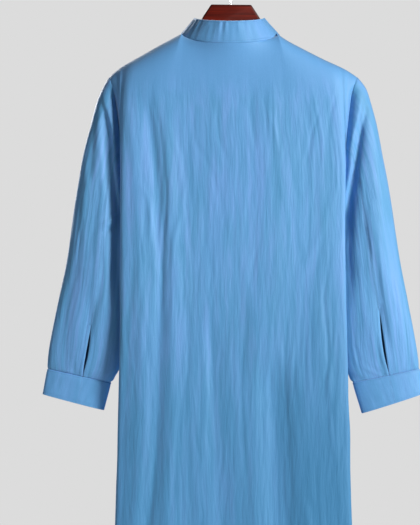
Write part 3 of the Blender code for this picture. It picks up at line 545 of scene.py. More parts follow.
def cloth_piece(name, stands_for, points, place, thickness=CLOTH_THICKNESS, bulge=RIM_BULGE,
                crinkled=1.0, numbers=None, wanted=True, flipped=False):
    """Thin cloth in place of a CAD node. Its outer layer is the given grid of points.

    The place is across and down the cloth. Points that have the same number are one point.
    """
    quads = grid_quads(grid_numbers(points) if numbers is None else numbers, wanted)
    used, quads = np.unique(quads[:, ::-1] if flipped else quads, return_inverse=True)
    quads = quads.reshape(-1, 4)
    place = np.stack(np.broadcast_arrays(*place, crinkled), axis=-1).reshape(-1, 3)[used]
    points = points.reshape(-1, 3)[used]
    normals = point_normals(points, quads)
    inner = points - normals * thickness
    rim = rim_edges(quads)
    rim_points, slot = np.unique(rim, return_inverse=True)
    slot = slot.reshape(-1, 2)
    along = points[rim[:, 1]] - points[rim[:, 0]]
    outward = np.zeros((len(rim_points), 3))
    for end in (0, 1):
        np.add.at(outward, slot[:, end], np.cross(along, normals[rim[:, end]]))
    middle = 0.5 * (points[rim_points] + inner[rim_points]) + unit(outward) * thickness * bulge
    count = len(points)
    a, b = rim.T
    middle_a, middle_b = 2 * count + slot.T
    faces = np.concatenate([
        quads, quads[:, ::-1] + count, np.stack([b, a, middle_a, middle_b], axis=1),
        np.stack([middle_b, middle_a, a + count, b + count], axis=1)])
    mesh = new_mesh(name, np.concatenate([points, inner, middle]).tolist(), faces.tolist())
    mesh.shade_smooth()
    place = np.concatenate([place, place, place[rim_points]]).astype(np.float32)
    attribute = mesh.attributes.new("cloth_place", "FLOAT_VECTOR", "POINT")
    attribute.data.foreach_set("vector", place.ravel())
    piece = add_object(name, mesh, cotton)
    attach(piece, "root")
    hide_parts(stands_for)
    print(name, "has", len(faces), "quads and", round(single_area(piece), 4), "square metres")
    return piece


print("cloth in mm:", 1000 * CLOTH_THICKNESS, "single and", 1000 * DOUBLED_THICKNESS, "doubled")


# %% [markdown]
# ## Colours
#
# Colours are easiest to judge as the hex codes of a picture, and a shader wants linear light,
# so one function turns the first into the second. Another adds a node with its settings and
# links, and the same feeding of inputs serves the shader itself. Where an input is given
# a node, it is linked from the first of that node's outputs that is in use.

# %% Colour and node helpers
def linear(hex_code):
    """Linear colour with alpha from an sRGB hex code."""
    levels = [int(hex_code[i:i + 2], 16) / 255.0 for i in (1, 3, 5)]
    return [c / 12.92 if c <= 0.04045 else ((c + 0.055) / 1.055) ** 2.4 for c in levels] + [1.0]


def feed(node, inputs):
    """Give each input a value, or link it from another node or from one of its outputs."""
    for name, value in inputs.items():
        if isinstance(value, bpy.types.Node):
            value = next(output for output in value.outputs if output.enabled)
        if isinstance(value, bpy.types.NodeSocket):
            node.id_data.links.new(value, node.inputs[name])
        else:
            node.inputs[name].default_value = value


def add_node(material, kind, inputs=None, stops=(), **settings):
    """Add a node with its settings, inputs and, on a colour ramp, stops."""
    node = material.node_tree.nodes.new(kind)
    for name, value in settings.items():
        setattr(node, name, value)
    feed(node, inputs or {})
    for number, (place, code) in enumerate(stops):
        elements = node.color_ramp.elements
        element = elements[number] if number < 2 else elements.new(place)
        element.position, element.color = place, linear(code)
    return node


def new_material(name, **values):
    """A material and its shader, with the values that are the same all over."""
    material = bpy.data.materials.new(name)
    material.use_nodes = True
    shader = material.node_tree.nodes["Principled BSDF"]
    feed(shader, {socket.replace("_", " "): value for socket, value in values.items()})
    return material, shader


print("mid blue in linear light:", [round(c, 3) for c in linear("#5C9BD0")[:3]])

# %% [markdown]
# ## Crinkled cotton
#
# The cloth is a plain-woven cotton lawn, dyed in the piece and crinkle-finished. Cotton fibres
# scatter light, so the surface is rough, with a faint sheen where it turns away. Upright
# streaks run from a deeper teal to a lighter periwinkle. They are partly uneven dye on the
# twisted cloth and partly painted shade and painted highlight of crinkles, laid at random and
# not on the creases of the relief. The real threads are 0.35 mm apart, far too fine for this
# picture, so the weave is drawn at 1.1 mm. All patterns follow the cloth's own coordinates,
# across and down the weave, so they run along the sleeves and not straight through the air. The
# third coordinate says how crinkled the cloth is, because the collar, the cuffs and the yoke
# are pressed.

# %% Cotton material
THREAD_SPACING = 0.0011
STREAK_APART, STREAK_LONG = 0.015, 0.150
PATCH_WIDE, PATCH_LONG, PATCHES_SHOW = 0.060, 0.260, 0.45
DRIFT_WIDE, DRIFT_LONG, DRIFT = 0.040, 0.060, 0.008
FINE_CRINKLE_APART, FINE_CRINKLE_LONG = 0.0058, 0.048

cotton, cotton_shader = new_material(
    "crinkle-finished cotton lawn", Roughness=0.60, Sheen_Weight=0.60, Sheen_Roughness=0.45,
    Sheen_Tint=linear("#E2EEFA"), IOR=1.47)
place_node = add_node(cotton, "ShaderNodeAttribute", attribute_name="cloth_place")
cloth_place = place_node.outputs["Vector"]


def stretched(place, across, down):
    """Pattern coordinates in which one unit is so many metres across and down the cloth."""
    return add_node(cotton, "ShaderNodeVectorMath", {
        0: place, 1: (1.0 / across, 1.0 / down, 1.0)}, operation="MULTIPLY")


drift = add_node(cotton, "ShaderNodeTexNoise", {
    "Vector": stretched(cloth_place, DRIFT_WIDE, DRIFT_LONG), "Scale": 1.0, "Detail": 1.5})
wandering = add_node(cotton, "ShaderNodeVectorMath", {
    0: drift.outputs["Color"], 1: (DRIFT, 0.0, 0.0), 2: cloth_place}, operation="MULTIPLY_ADD")
streaks = add_node(cotton, "ShaderNodeTexNoise", {
    "Vector": stretched(wandering, STREAK_APART, STREAK_LONG),
    "Scale": 1.0, "Detail": 2.5, "Roughness": 0.5, "Distortion": 0.2})
patches = add_node(cotton, "ShaderNodeTexNoise", {
    "Vector": stretched(cloth_place, PATCH_WIDE, PATCH_LONG), "Scale": 1.0, "Detail": 2.0})
# Painted streaks: partly uneven dye, partly painted shade and painted highlight of crinkles.
streak_tone_and_shade = add_node(cotton, "ShaderNodeValToRGB", {"Fac": streaks}, stops=(
    (0.32, "#4791C2"), (0.47, "#589BD0"), (0.58, "#649FD9"), (0.70, "#72A4E4")))
patch_colour = add_node(cotton, "ShaderNodeValToRGB", {"Fac": patches}, stops=(
    (0.32, "#5597C8"), (0.50, "#5C9BD3"), (0.68, "#6A9FE0")))
tone_and_streak_shade = add_node(cotton, "ShaderNodeMix", {
    "Factor": PATCHES_SHOW, "A": streak_tone_and_shade, "B": patch_colour}, data_type="RGBA")
print("cotton streaks in mm:", 1000 * STREAK_APART, "by", 1000 * STREAK_LONG)

# %% [markdown]
# The relief comes from three patterns. Crinkles too fine for the mesh are a stretched noise.
# The weave is two sine waves, one along each thread direction. A short noise stands for the
# nap, the fibre ends that make cotton look soft. They are added up as heights in metres, and
# one bump node turns the heights into light and shade. A deeper blue is painted in toward the
# hem, most of all on one side: painted shade, where the light falls off over the lower cloth.
# Where the cloth is pressed flat it took the dye evenly, so the streaks fade there, and with
# them their painted shade and highlight.

# %% Cotton relief
FINE_CRINKLE_RELIEF, WEAVE_RELIEF, NAP_RELIEF = 0.00080, 0.00003, 0.00012
NAP_WIDE, NAP_LONG = 0.0018, 0.0026
# Painted shade: a deeper blue toward the hem, strongest on one side of the cloth.
EVEN_DYE, PAINTED_SHADE_BLUE = "#5D9CD5", "#377EAE"
SHADE_FROM, SHADE_FULL_FROM = 0.42, 0.98
SIDE_SHADE_FROM, SIDE_SHADE_TO, CENTRE_SHADE = 0.03, 0.15, 0.62
WEAVE_SHOWS = 0.06

fine_crinkles = add_node(cotton, "ShaderNodeTexNoise", {
    "Vector": stretched(wandering, FINE_CRINKLE_APART, FINE_CRINKLE_LONG),
    "Scale": 1.0, "Detail": 2.0, "Roughness": 0.5, "Distortion": 0.25})
one_thread = THREAD_SPACING / (2 * pi)
threads = add_node(cotton, "ShaderNodeSeparateXYZ", {
    "Vector": stretched(cloth_place, one_thread, one_thread)})
warp, weft = (add_node(cotton, "ShaderNodeMath", {0: threads.outputs[axis]}, operation="SINE")
              for axis in "XY")
weave = add_node(cotton, "ShaderNodeMath", {0: warp, 1: weft}, operation="MULTIPLY")
nap = add_node(cotton, "ShaderNodeTexNoise", {
    "Vector": stretched(cloth_place, NAP_WIDE, NAP_LONG), "Scale": 1.0, "Detail": 2.0})
parts = add_node(cotton, "ShaderNodeSeparateXYZ", {"Vector": cloth_place})
how_crinkled = parts.outputs["Z"]
crinkle_relief = add_node(cotton, "ShaderNodeMath", {0: fine_crinkles, 1: how_crinkled},
                          operation="MULTIPLY")
relief = 0.0
for pattern, metres in ((crinkle_relief, FINE_CRINKLE_RELIEF), (weave, WEAVE_RELIEF),
                        (nap, NAP_RELIEF)):
    relief = add_node(cotton, "ShaderNodeMath", {0: pattern, 1: metres, 2: relief},
                      operation="MULTIPLY_ADD")
cotton_bump = add_node(cotton, "ShaderNodeBump", {
    "Height": relief, "Strength": 1.0, "Distance": 1.0})
# Painted shade grows toward the hem and toward one side of the cloth.
toward_hem = add_node(cotton, "ShaderNodeMapRange", {
    "Value": parts.outputs["Y"], "From Min": SHADE_FROM, "From Max": SHADE_FULL_FROM,
    "To Min": 0.0, "To Max": 1.0}, interpolation_type="SMOOTHSTEP")
toward_side = add_node(cotton, "ShaderNodeMapRange", {
    "Value": parts.outputs["X"], "From Min": SIDE_SHADE_FROM, "From Max": SIDE_SHADE_TO,
    "To Min": CENTRE_SHADE, "To Max": 1.0}, interpolation_type="SMOOTHSTEP")
deeper = add_node(cotton, "ShaderNodeMath", {0: toward_hem, 1: toward_side},
                  operation="MULTIPLY")
patchy_tone_and_shade = add_node(cotton, "ShaderNodeMix", {
    "Factor": how_crinkled, "A": linear(EVEN_DYE), "B": tone_and_streak_shade}, data_type="RGBA")
with_painted_shade = add_node(cotton, "ShaderNodeMix", {
    "Factor": deeper, "A": patchy_tone_and_shade, "B": linear(PAINTED_SHADE_BLUE)}, data_type="RGBA")
thread_shade = add_node(cotton, "ShaderNodeValToRGB", {"Fac": nap}, stops=(
    (0.3, "#9FB6CC"), (0.7, "#FFFFFF")))
woven = add_node(cotton, "ShaderNodeMix", {
    "Factor": WEAVE_SHOWS, "A": with_painted_shade, "B": thread_shade}, data_type="RGBA",
    blend_type="MULTIPLY")
feed(cotton_shader, {"Base Color": woven, "Normal": cotton_bump})
print("cotton nodes:", len(cotton.node_tree.nodes))

# %% [markdown]
# ## Sewing thread
#
# Spun polyester thread is a little shinier than the cotton, and a dyer never hits the cloth's
# colour quite, so it is a shade deeper. Its twist is a fine wave along each stitch.

# %% Thread material
TWIST_LONG = 0.0007
thread, thread_shader = new_material("spun polyester sewing thread", Roughness=0.60, IOR=1.50,
                                     Sheen_Weight=0.15)
thread_place = add_node(thread, "ShaderNodeTexCoord")
twist = add_node(thread, "ShaderNodeTexNoise", {
    "Vector": thread_place.outputs["Object"], "Scale": 1.0 / TWIST_LONG, "Detail": 1.0})
thread_colour = add_node(thread, "ShaderNodeValToRGB", {"Fac": twist}, stops=(
    (0.35, "#3F7DB4"), (0.65, "#5590C6")))
feed(thread_shader, {"Base Color": thread_colour})
print("thread twist in mm:", 1000 * TWIST_LONG)

# %% [markdown]
# ## The back panel
#
# A grid of places is read from the body's surface: some two millimetres apart across and six
# down, because the crinkles are narrow and long. The creases then move each point along the
# surface's own direction. They die out at the neckline, at the shoulder, where the cloth is
# taut over the wood, and at the seams, where the seam itself makes a small dip.

# %% Grid helpers
PANEL_STEP, PANEL_ROW, TOP_ROWS, TOP_CLOSER = 0.0023, 0.0062, 56, 1.25
HALF_PANEL_LENGTH = 0.254
SEAM_DIP, SEAM_DIP_SPREAD = 0.0010, 0.0035
GROOVE_DEPTH = {LEFT: 0.0100, RIGHT: 0.0085}
GROOVE_SPREAD = 0.0050
SLEEVE_GROOVE_SPREAD = {LEFT: 0.0120, RIGHT: 0.0100}
GROOVE_TOP_Z, GROOVE_TOP_FADE, GROOVE_LOW_FADE = -0.205, 0.035, 0.080


def lengths_along(points, axis=0):
    """Length travelled along one direction of a grid, or along a path."""
    steps = np.linalg.norm(np.diff(points, axis=axis), axis=-1)
    start = np.zeros_like(np.take(steps, [0], axis=axis))
    return np.concatenate([start, np.cumsum(steps, axis=axis)], axis=axis)


def grid_ways(points):
    """Unit vectors square to a grid's surface."""
    return unit(np.cross(np.gradient(points, axis=1), np.gradient(points, axis=0)))


def seam_dip(distance):
    return -SEAM_DIP * np.exp(-(distance / SEAM_DIP_SPREAD) ** 2)


def armhole_groove(side, z, distance, spread=GROOVE_SPREAD):
    """How far the armhole's seam sinks between the body and the sleeve."""
    along_arm = (ease((GROOVE_TOP_Z - z) / GROOVE_TOP_FADE)
                 * ease((z - UNDERARM_Z) / GROOVE_LOW_FADE))
    depth = np.where(side == LEFT, GROOVE_DEPTH[LEFT], GROOVE_DEPTH[RIGHT])
    return depth * along_arm * np.exp(-(distance / spread) ** 2)


low_levels = -np.linspace(1.0, 0.0, round((UNDERARM_Z - HEM_Z) / PANEL_ROW) + 1)
high_levels = 1.0 - np.linspace(1.0, 0.0, TOP_ROWS) ** TOP_CLOSER
levels = np.concatenate([low_levels, high_levels[1:]])
print("rows from hem to top edge:", len(levels))

# %% Back panel
YOKE_Z, YOKE_FADE, YOKE_CRINKLED = -0.180, 0.095, 0.12
TAUT_BELOW_TOP, TAUT_BESIDE_SEAM, EDGE_FADE = 0.050, 0.030, 0.012
TAUT_CRINKLED, UNDER_STRIP_CRUMPLED = 0.03, 0.15
CRUSHED_MORE, CRUSHED_FROM_X, CRUSHED_FADE_X = 0.7, 0.04, 0.09
CRUSHED_FROM_Z, CRUSHED_FADE_Z = -0.58, 0.20
PANEL_SWELL = Ripple(0.0016, 0.075, 0.42)
STRIP_HALF_WIDTH, STRIP_BOTTOM_Z, BELOW_STRIP = 0.0175, -0.505, 0.02
SPREAD_STEPS, SPREAD_Z = 400, -0.3


def crumpled_panel(face, shares_left, shares_right, creases, seed):
    """Points, place on the cloth and crinkling of a whole panel with all its creases."""
    left = body_points(face, LEFT, shares_left, levels[:, None])
    right = body_points(face, RIGHT, shares_right, levels[:, None])
    points = np.concatenate([left[:, ::-1], right[:, 1:]], axis=1)
    u = lengths_along(points, 1)
    u = u - u[:, [left.shape[1] - 1]]
    to_side = np.minimum(u - u[:, [0]], u[:, [-1]] - u)
    below_top = lengths_along(points[::-1])[::-1]
    x, z = points[..., 0], points[..., 2]
    below_yoke = ease((YOKE_Z - z) / YOKE_FADE)
    loose = below_yoke * ease(below_top / TAUT_BELOW_TOP) * ease(to_side / TAUT_BESIDE_SEAM)
    crushed = 1.0 + CRUSHED_MORE * ease((x - CRUSHED_FROM_X) / CRUSHED_FADE_X) * ease(
        (CRUSHED_FROM_Z - z) / CRUSHED_FADE_Z)
    height = crinkle(u, -z, seed) * crushed * mix(TAUT_CRINKLED, 1.0, loose)
    height = height * ease(below_top / EDGE_FADE) * ease(to_side / EDGE_FADE)
    height = height + crease_height(creases, x, z) * loose
    height = height + ripples(PANEL_SWELL, u, -z, seed + 9) * loose
    height = height + seam_dip(to_side) + seam_dip(below_top)
    if face == FRONT:
        beside = ease((np.abs(x - lean(z)) - STRIP_HALF_WIDTH) / TAUT_BESIDE_SEAM)
        beside = np.where(z < STRIP_BOTTOM_Z - BELOW_STRIP, 1.0, beside)
        height = height * mix(UNDER_STRIP_CRUMPLED, 1.0, beside)
    moved = points - face * grid_ways(points) * height[..., None]
    moved[..., 1] -= face * armhole_groove(np.where(u < 0.0, LEFT, RIGHT), z, to_side)
    return moved, (u, -z), mix(YOKE_CRINKLED, 1.0, below_yoke)


def even_shares(count):
    """Shares across a half panel with steps of nearly equal length."""
    fine = np.linspace(0.0, 1.0, SPREAD_STEPS)
    length = lengths_along(body_points(BACK, RIGHT, fine, SPREAD_Z))
    return np.interp(np.linspace(0.0, length[-1], count), length, fine)


even = even_shares(round(HALF_PANEL_LENGTH / PANEL_STEP))
shares = np.tile(even, (len(levels), 1))
back_points, place, crinkled = crumpled_panel(BACK, shares, shares, BACK_CREASES, 11)
back = cloth_piece("back_panel", "back", back_points, place, crinkled=crinkled)

# %% [markdown]
# ## The front panel
#
# The front is cut like the back, with a deeper neckline and a slot at its centre for the
# placket. The slot's edges have to lie on columns of the grid, so on this panel the columns
# are found row by row from the slot's half width, and the quads inside the slot are left out.

# %% Front panel
SLOT_HALF_WIDTH, SLOT_BOTTOM_Z, SLOT_COLUMNS = 0.0140, -0.490, 5
CLOSEST_SHARE = 0.062


def front_shares(side):
    slot = share_at(FRONT, side, SLOT_HALF_WIDTH, levels)[:, None]
    inner = slot * np.linspace(0.0, 1.0, SLOT_COLUMNS + 1)[None, :]
    outer = even[even > CLOSEST_SHARE]
    outer = slot + (1.0 - slot) * ((outer - outer[0]) / (1.0 - outer[0]))[None, 1:]
    return np.concatenate([inner, outer], axis=1)


def level_below_underarm(z):
    return (z - UNDERARM_Z) / (UNDERARM_Z - HEM_Z)


front_points, place, crinkled = crumpled_panel(
    FRONT, front_shares(LEFT), front_shares(RIGHT), FRONT_CREASES, 23)
rows, columns = front_points.shape[:2]
middle_column = (columns - 1) // 2
slot_row = int(np.argmin(np.abs(levels - level_below_underarm(SLOT_BOTTOM_Z))))
kept = np.ones((rows - 1, columns - 1), bool)
kept[slot_row:, middle_column - SLOT_COLUMNS:middle_column + SLOT_COLUMNS] = False
front = cloth_piece("front_panel", "front", front_points, place, crinkled=crinkled,
                    wanted=kept, flipped=True)

# %% [markdown]
# ## The sleeves
#
# A sleeve is a tube that starts as the armhole's own outline and settles into a flat oval. Its
# rings run from the edge beside the body to the outer edge. The slit above the cuff is cut
# along one column, so the grid starts and ends there: above the slit both ends share their
# points, and below they part.

# %% Tables of the sleeves
SLEEVE_OUTER = table("z left right", [
    (SHOULDER_Z, SHOULDER_X[LEFT], SHOULDER_X[RIGHT]), (-0.216, 0.2377, 0.2535),
    (-0.243, 0.2493, 0.2615), (-0.283, 0.2617, 0.2710), (-0.341, 0.2782, 0.2802),
    (-0.420, 0.2920, 0.2940), (-0.540, 0.3103, 0.3123), (-0.610, 0.3257, 0.3262),
    (-0.700, 0.3430, 0.3430), (-0.740, 0.3465, 0.3490),
])
SLEEVE_INNER = table("z left right", [
    (UNDERARM_Z, 0.1860, 0.1860), (-0.464, 0.1960, 0.1960), (-0.490, 0.1995, 0.1995),
    (-0.560, 0.1975, 0.1975), (-0.650, 0.1990, 0.1990), (-0.710, 0.2045, 0.2035),
    (-0.742, 0.2135, 0.2110), (-0.766, 0.2275, 0.2240),
])
SLEEVE_DEPTH = table("along half_depth", [
    (0.00, 0.0290), (0.15, 0.0300), (0.40, 0.0310), (0.62, 0.0290), (0.82, 0.0240),
    (0.94, 0.0175), (1.00, 0.0115),
])
ARM_STEPS = 12
SLEEVE_RINGS = 18
SLEEVE_SETTLE = 0.30
FOLD_ARRIVES, FOLD_LEAVES = 0.08, 0.10
SIDE_FLATNESS = 0.75
OUTER_FLATNESS = {LEFT: 0.55, RIGHT: 1.0}
SLIT_STEP = 6
SLIT_WIDTH = 0.0050
SLIT_END_HALF_WIDTH = 0.0004
Slit = namedtuple("Slit", "first_ring at_top at_seam")
SLIT = {LEFT: Slit(14, 0.490, 0.444), RIGHT: Slit(13, 0.583, 0.537)}
Cuff = namedtuple("Cuff", "outer_x outer_z inner_x inner_z")
CUFF_BOTTOM = {LEFT: Cuff(0.3553, -0.7867, 0.2409, -0.8166),
               RIGHT: Cuff(0.3575, -0.7853, 0.2412, -0.8227)}
CUFF_HALF_DEPTH = 0.0125
print("sleeve rings in the CAD model:", SLEEVE_RINGS + 1)

# %% Sleeve surface
def edge_at(edge, side, along):
    """Place on a sleeve's edge at a share of the edge's length."""
    x, z = getattr(edge, SIDE_NAME[side]), edge.z
    length = lengths_along(np.stack([x, z], axis=-1))
    return through(length / length[-1], x, along), through(length / length[-1], z, along)


def arm_rise(step):
    return 0.5 * (1.0 - np.cos(pi * step / ARM_STEPS))


def across_sleeve(side, step, along):
    """Share of a ring's width, drawn so that the middle column follows the slit."""
    slit = SLIT[side]
    top = slit.first_ring / SLEEVE_RINGS
    target = np.where(along < top, mix(0.5, slit.at_top, ease(along / top)),
                      mix(slit.at_top, slit.at_seam, (along - top) / (1.0 - top)))
    share = arm_rise(step)
    return share + (target - 0.5) * 4.0 * share * (1.0 - share)


def turned(step):
    return np.maximum(np.sin(pi * step / ARM_STEPS), 0.0)


def sleeve_points(side, face, step, along, shift=0.0):
    """Places round a sleeve, a step round from the underarm and a share of its length down."""
    inner_x, inner_z = edge_at(SLEEVE_INNER, side, along)
    outer_x, outer_z = edge_at(SLEEVE_OUTER, side, along)
    length = np.hypot(outer_x - inner_x, outer_z - inner_z)
    share = across_sleeve(side, step, along) + shift / length
    x, z = mix(inner_x, outer_x, share), mix(inner_z, outer_z, share)
    flatness = np.where(step <= 0.5 * ARM_STEPS, SIDE_FLATNESS, OUTER_FLATNESS[side])
    depth = through(SLEEVE_DEPTH.along, SLEEVE_DEPTH.half_depth, along)
    depth = depth * turned(step) ** flatness
    rise = arm_rise(step)
    seams = {f: body_local(f, side, 1.0, rise) for f in (BACK, FRONT)}
    seam_x = np.where(face == BACK, seams[BACK][0], seams[FRONT][0])
    seam_depth = np.where(face == BACK, seams[BACK][1], seams[FRONT][1])
    leaving = 1.0 - ease(along / SLEEVE_SETTLE)
    x = x + (seam_x - mix(SLEEVE_INNER.left[0], SHOULDER_X[side], rise)) * leaving
    depth = mix(depth, seam_depth, leaving)
    arriving = ease(along / FOLD_ARRIVES) * ease((1.0 - along) / FOLD_LEAVES)
    folds = fold_height(SLEEVE_FOLDS, face, side * x + lean(z), z)
    depth = depth + arriving * np.sin(pi * step / ARM_STEPS) * folds
    return placed(face, side, x, depth, z)


def ring_columns(per_step):
    """Face and step of each column, from the slit up the back, down the front, and back."""
    up = np.linspace(SLIT_STEP, ARM_STEPS, (ARM_STEPS - SLIT_STEP) * per_step + 1)
    down = np.linspace(ARM_STEPS, 0, ARM_STEPS * per_step + 1)[1:]
    again = np.linspace(0, SLIT_STEP, SLIT_STEP * per_step + 1)[1:]
    faces = np.concatenate([np.full(len(up), BACK), np.full(len(down), FRONT),
                            np.full(len(again), BACK)])
    return faces, np.concatenate([up, down, again])


ring_faces, ring_steps = ring_columns(7)
print("columns round a sleeve:", len(ring_steps))

# %% [markdown]
# The photographed sleeves show soft lengthwise creases, deeper ones beside the body, a break
# where the elbow would be, and small gathers where the cloth is sewn to the cuff. Each has its
# own line here. The hidden front of each sleeve gets similar ones.

# %% Creases of the sleeves
SLEEVE_CREASES = {
    (LEFT, BACK): (
        Crease(4.2, 6, ((-240, -222), (-230, -262), (-217, -316), (-215, -380))),
        Crease(-3.4, 11, ((-242, -236), (-234, -316), (-228, -426), (-230, -470))),
        Crease(2.4, 7, ((-251, -240), (-266, -345), (-272, -433), (-272, -520))),
        Crease(-5.4, 10, ((-252, -232), (-256, -278), (-262, -330), (-268, -390))),
        Crease(3.0, 15, ((-272, -380), (-284, -480), (-294, -560))),
        Crease(-3.2, 12, ((-296, -560), (-304, -620), (-311, -684), (-316, -740))),
        Crease(2.6, 9, ((-204, -444), (-219, -458), (-236, -474))),
        Crease(-2.6, 9, ((-206, -462), (-222, -476), (-240, -492))),
        Crease(-1.3, 7, ((-248, -330), (-246, -420), (-252, -500))),
        Crease(1.2, 8, ((-262, -360), (-262, -440), (-270, -530), (-276, -600))),
        Crease(-1.1, 6, ((-280, -420), (-284, -500), (-290, -580))),
        Crease(-1.2, 6, ((-236, -480), (-240, -560), (-246, -640))),
        Crease(0.9, 6, ((-296, -560), (-304, -640), (-310, -710))),
        Crease(-1.0, 5, ((-234, -530), (-246, -600), (-262, -660))),
        Crease(0.9, 6, ((-268, -600), (-272, -660), (-280, -720))),
    ),
    (RIGHT, BACK): (
        Crease(2.4, 4, ((244, -226), (234, -270), (218, -334))),
        Crease(-3.0, 5, ((248, -236), (236, -280), (222, -344), (214, -372))),
        Crease(3.2, 5, ((254, -222), (243, -262), (227, -336), (222, -390))),
        Crease(-4.8, 9, ((253, -238), (240, -290), (227, -370), (216, -430), (210, -560))),
        Crease(1.2, 9, ((262, -300), (272, -400), (280, -500), (290, -580))),
        Crease(7.0, 22, ((255, -270), (262, -340), (268, -445), (281, -583), (293, -690))),
        Crease(-1.0, 6, ((246, -380), (250, -460), (258, -540))),
        Crease(-0.9, 5, ((288, -420), (296, -500), (302, -580))),
        Crease(-1.1, 6, ((262, -500), (272, -570), (281, -620))),
        Crease(0.9, 6, ((236, -520), (243, -600), (256, -680))),
        Crease(-1.1, 4, ((222, -690), (232, -705), (240, -742))),
        Crease(-0.9, 4, ((262, -664), (272, -700), (276, -740))),
        Crease(0.8, 5, ((310, -600), (318, -660), (322, -730))),
    ),
    (LEFT, FRONT): (
        Crease(1.4, 6, ((-244, -236), (-232, -290), (-222, -360))),
        Crease(-1.3, 6, ((-250, -300), (-244, -380), (-250, -470))),
        Crease(1.1, 8, ((-266, -380), (-270, -470), (-280, -560))),
        Crease(-1.1, 6, ((-240, -500), (-250, -590), (-262, -680))),
        Crease(0.9, 6, ((-290, -560), (-300, -640), (-306, -720))),
    ),
    (RIGHT, FRONT): (
        Crease(1.4, 6, ((256, -238), (242, -290), (228, -360))),
        Crease(-1.4, 6, ((262, -300), (254, -390), (256, -480))),
        Crease(1.1, 8, ((276, -390), (280, -480), (290, -560))),
        Crease(-1.0, 6, ((244, -500), (256, -590), (270, -690))),
        Crease(0.9, 6, ((298, -560), (308, -640), (314, -720))),
    ),
}
SLEEVE_ROWS = 136
GATHER_HEIGHT = 0.0013
FACING_HEIGHT = 0.0006
FACING_WIDTH = 0.0070
SLEEVE_CREASE_FADE = 0.020
print("sleeve creases:", sum(len(creases) for creases in SLEEVE_CREASES.values()))

# %% Sleeves
PARTING_COLUMNS = 9
ARMHOLE_CRINKLE_FADE, ARMHOLE_SWELL_FADE = 0.05, 0.06
FLAT_EDGE_CRINKLED = 0.55
SLEEVE_SWELL = Ripple(0.0012, 0.035, 0.20)
GATHERS = Ripple(GATHER_HEIGHT, 0.0085, 0.30)
GATHER_FADE, GATHER_START, CUFF_CALM = 0.022, 0.004, 0.018
SLIT_EDGE_FADE, FACING_EDGE = 0.012, 0.0015
sleeve_grids, cuff_grids, sleeves, cuffs = {}, {}, {}, {}


def slit_half_width(side, along):
    """Half the slit's width at each share of the sleeve's length."""
    first = SLIT[side].first_ring / SLEEVE_RINGS
    open_share = (along - first) / (1.0 - first)
    half = np.maximum(0.5 * SLIT_WIDTH * np.sin(pi * np.clip(open_share, 0.0, 1.0)),
                      SLIT_END_HALF_WIDTH)
    return np.where(open_share > 0.0, half, 0.0)


along = np.linspace(0.0, 1.0, SLEEVE_ROWS + 1)[:, None]
count = len(ring_steps)
from_slit = np.minimum(np.arange(count), np.arange(count)[::-1])
side_of_slit = np.where(np.arange(count) < count // 2, 1.0, -1.0)
parted = np.exp(-(from_slit / PARTING_COLUMNS) ** 2) * side_of_slit * (ring_faces == BACK)
roundness = turned(ring_steps)[None, :]
for side in (LEFT, RIGHT):
    half_slit = slit_half_width(side, along)
    points = sleeve_points(side, ring_faces[None, :], ring_steps[None, :], along,
                           half_slit * parted[None, :])
    u, v = lengths_along(points, 1), lengths_along(points)
    even_u = u * u[:, [-1]].mean() / u[:, [-1]]
    x, z = points[..., 0], points[..., 2]
    to_cuff = v[-1] - v
    shared = half_slit[:, 0] == 0.0
    above_slit = np.maximum(v[~shared][:1] - v, 0.0)
    to_slit = np.hypot(np.minimum(u, u[:, [-1]] - u), above_slit)
    face_grid = np.broadcast_to(ring_faces, x.shape)
    height = crinkle(even_u, v, 41 + side) * ease(v / ARMHOLE_CRINKLE_FADE)
    height = height * mix(FLAT_EDGE_CRINKLED, 1.0, roundness)
    height = height + ripples(SLEEVE_SWELL, u, v, 61 + side) * ease(v / ARMHOLE_SWELL_FADE)
    for face in (BACK, FRONT):
        creases = crease_height(SLEEVE_CREASES[side, face], x, z)
        height = height + np.where(face_grid == face, creases * roundness ** 0.5, 0.0)
    gathers = ripples(GATHERS, u, v, 71 + side) * np.exp(-to_cuff / GATHER_FADE)
    height = height * ease(to_cuff / CUFF_CALM) + gathers * ease(to_cuff / GATHER_START)
    height = height * ease(to_slit / SLIT_EDGE_FADE) * ease(v / SLEEVE_CREASE_FADE)
    height = height + FACING_HEIGHT * ease((FACING_WIDTH - to_slit) / FACING_EDGE)
    height = height + seam_dip(v) + seam_dip(to_cuff)
    moved = points - side * grid_ways(points) * height[..., None]
    moved[..., 1] -= face_grid * armhole_groove(side, z, v, SLEEVE_GROOVE_SPREAD[side])
    middle_line = 0.5 * (moved[:, 0] + moved[:, -1])
    moved[shared, 0] = moved[shared, -1] = middle_line[shared]
    sleeve_grids[side] = moved
    numbers = grid_numbers(moved)
    numbers[shared, -1] = numbers[shared, 0]
    name = SIDE_NAME[side]
    sleeves[side] = cloth_piece(f"sleeve_tube_{name}", f"sleeve_{name}", moved, (even_u, v),
                                numbers=numbers, flipped=side == RIGHT)

# %% [markdown]
# ## The cuffs
#
# A cuff is a doubled band, so it is twice as thick as the sleeve and lies flatter. Its upper
# edge takes the sleeve's last ring, point for point, and it stands a little proud of it below
# the seam, where the doubled cloth begins.

# %% Cuffs
CUFF_ROWS = 18
BAND_PROUD = 0.0005
CUFF_FOLDS, CUFF_PUCKERS = Ripple(0.0007, 0.030, 0.030), Ripple(0.00025, 0.007, 0.02)
CUFF_EDGE_FADE = 0.006


def closer_at_ends(count):
    """Shares from 0 to 1, closer together at both ends, as a column."""
    return (0.5 * (1.0 - np.cos(pi * np.linspace(0.0, 1.0, count + 1))))[:, None]


def stitch_dip(to_edge, depth, from_edge, spread):
    """The line beside an edge where stitches draw doubled cloth in."""
    return -depth * np.exp(-((to_edge - from_edge) / spread) ** 2)


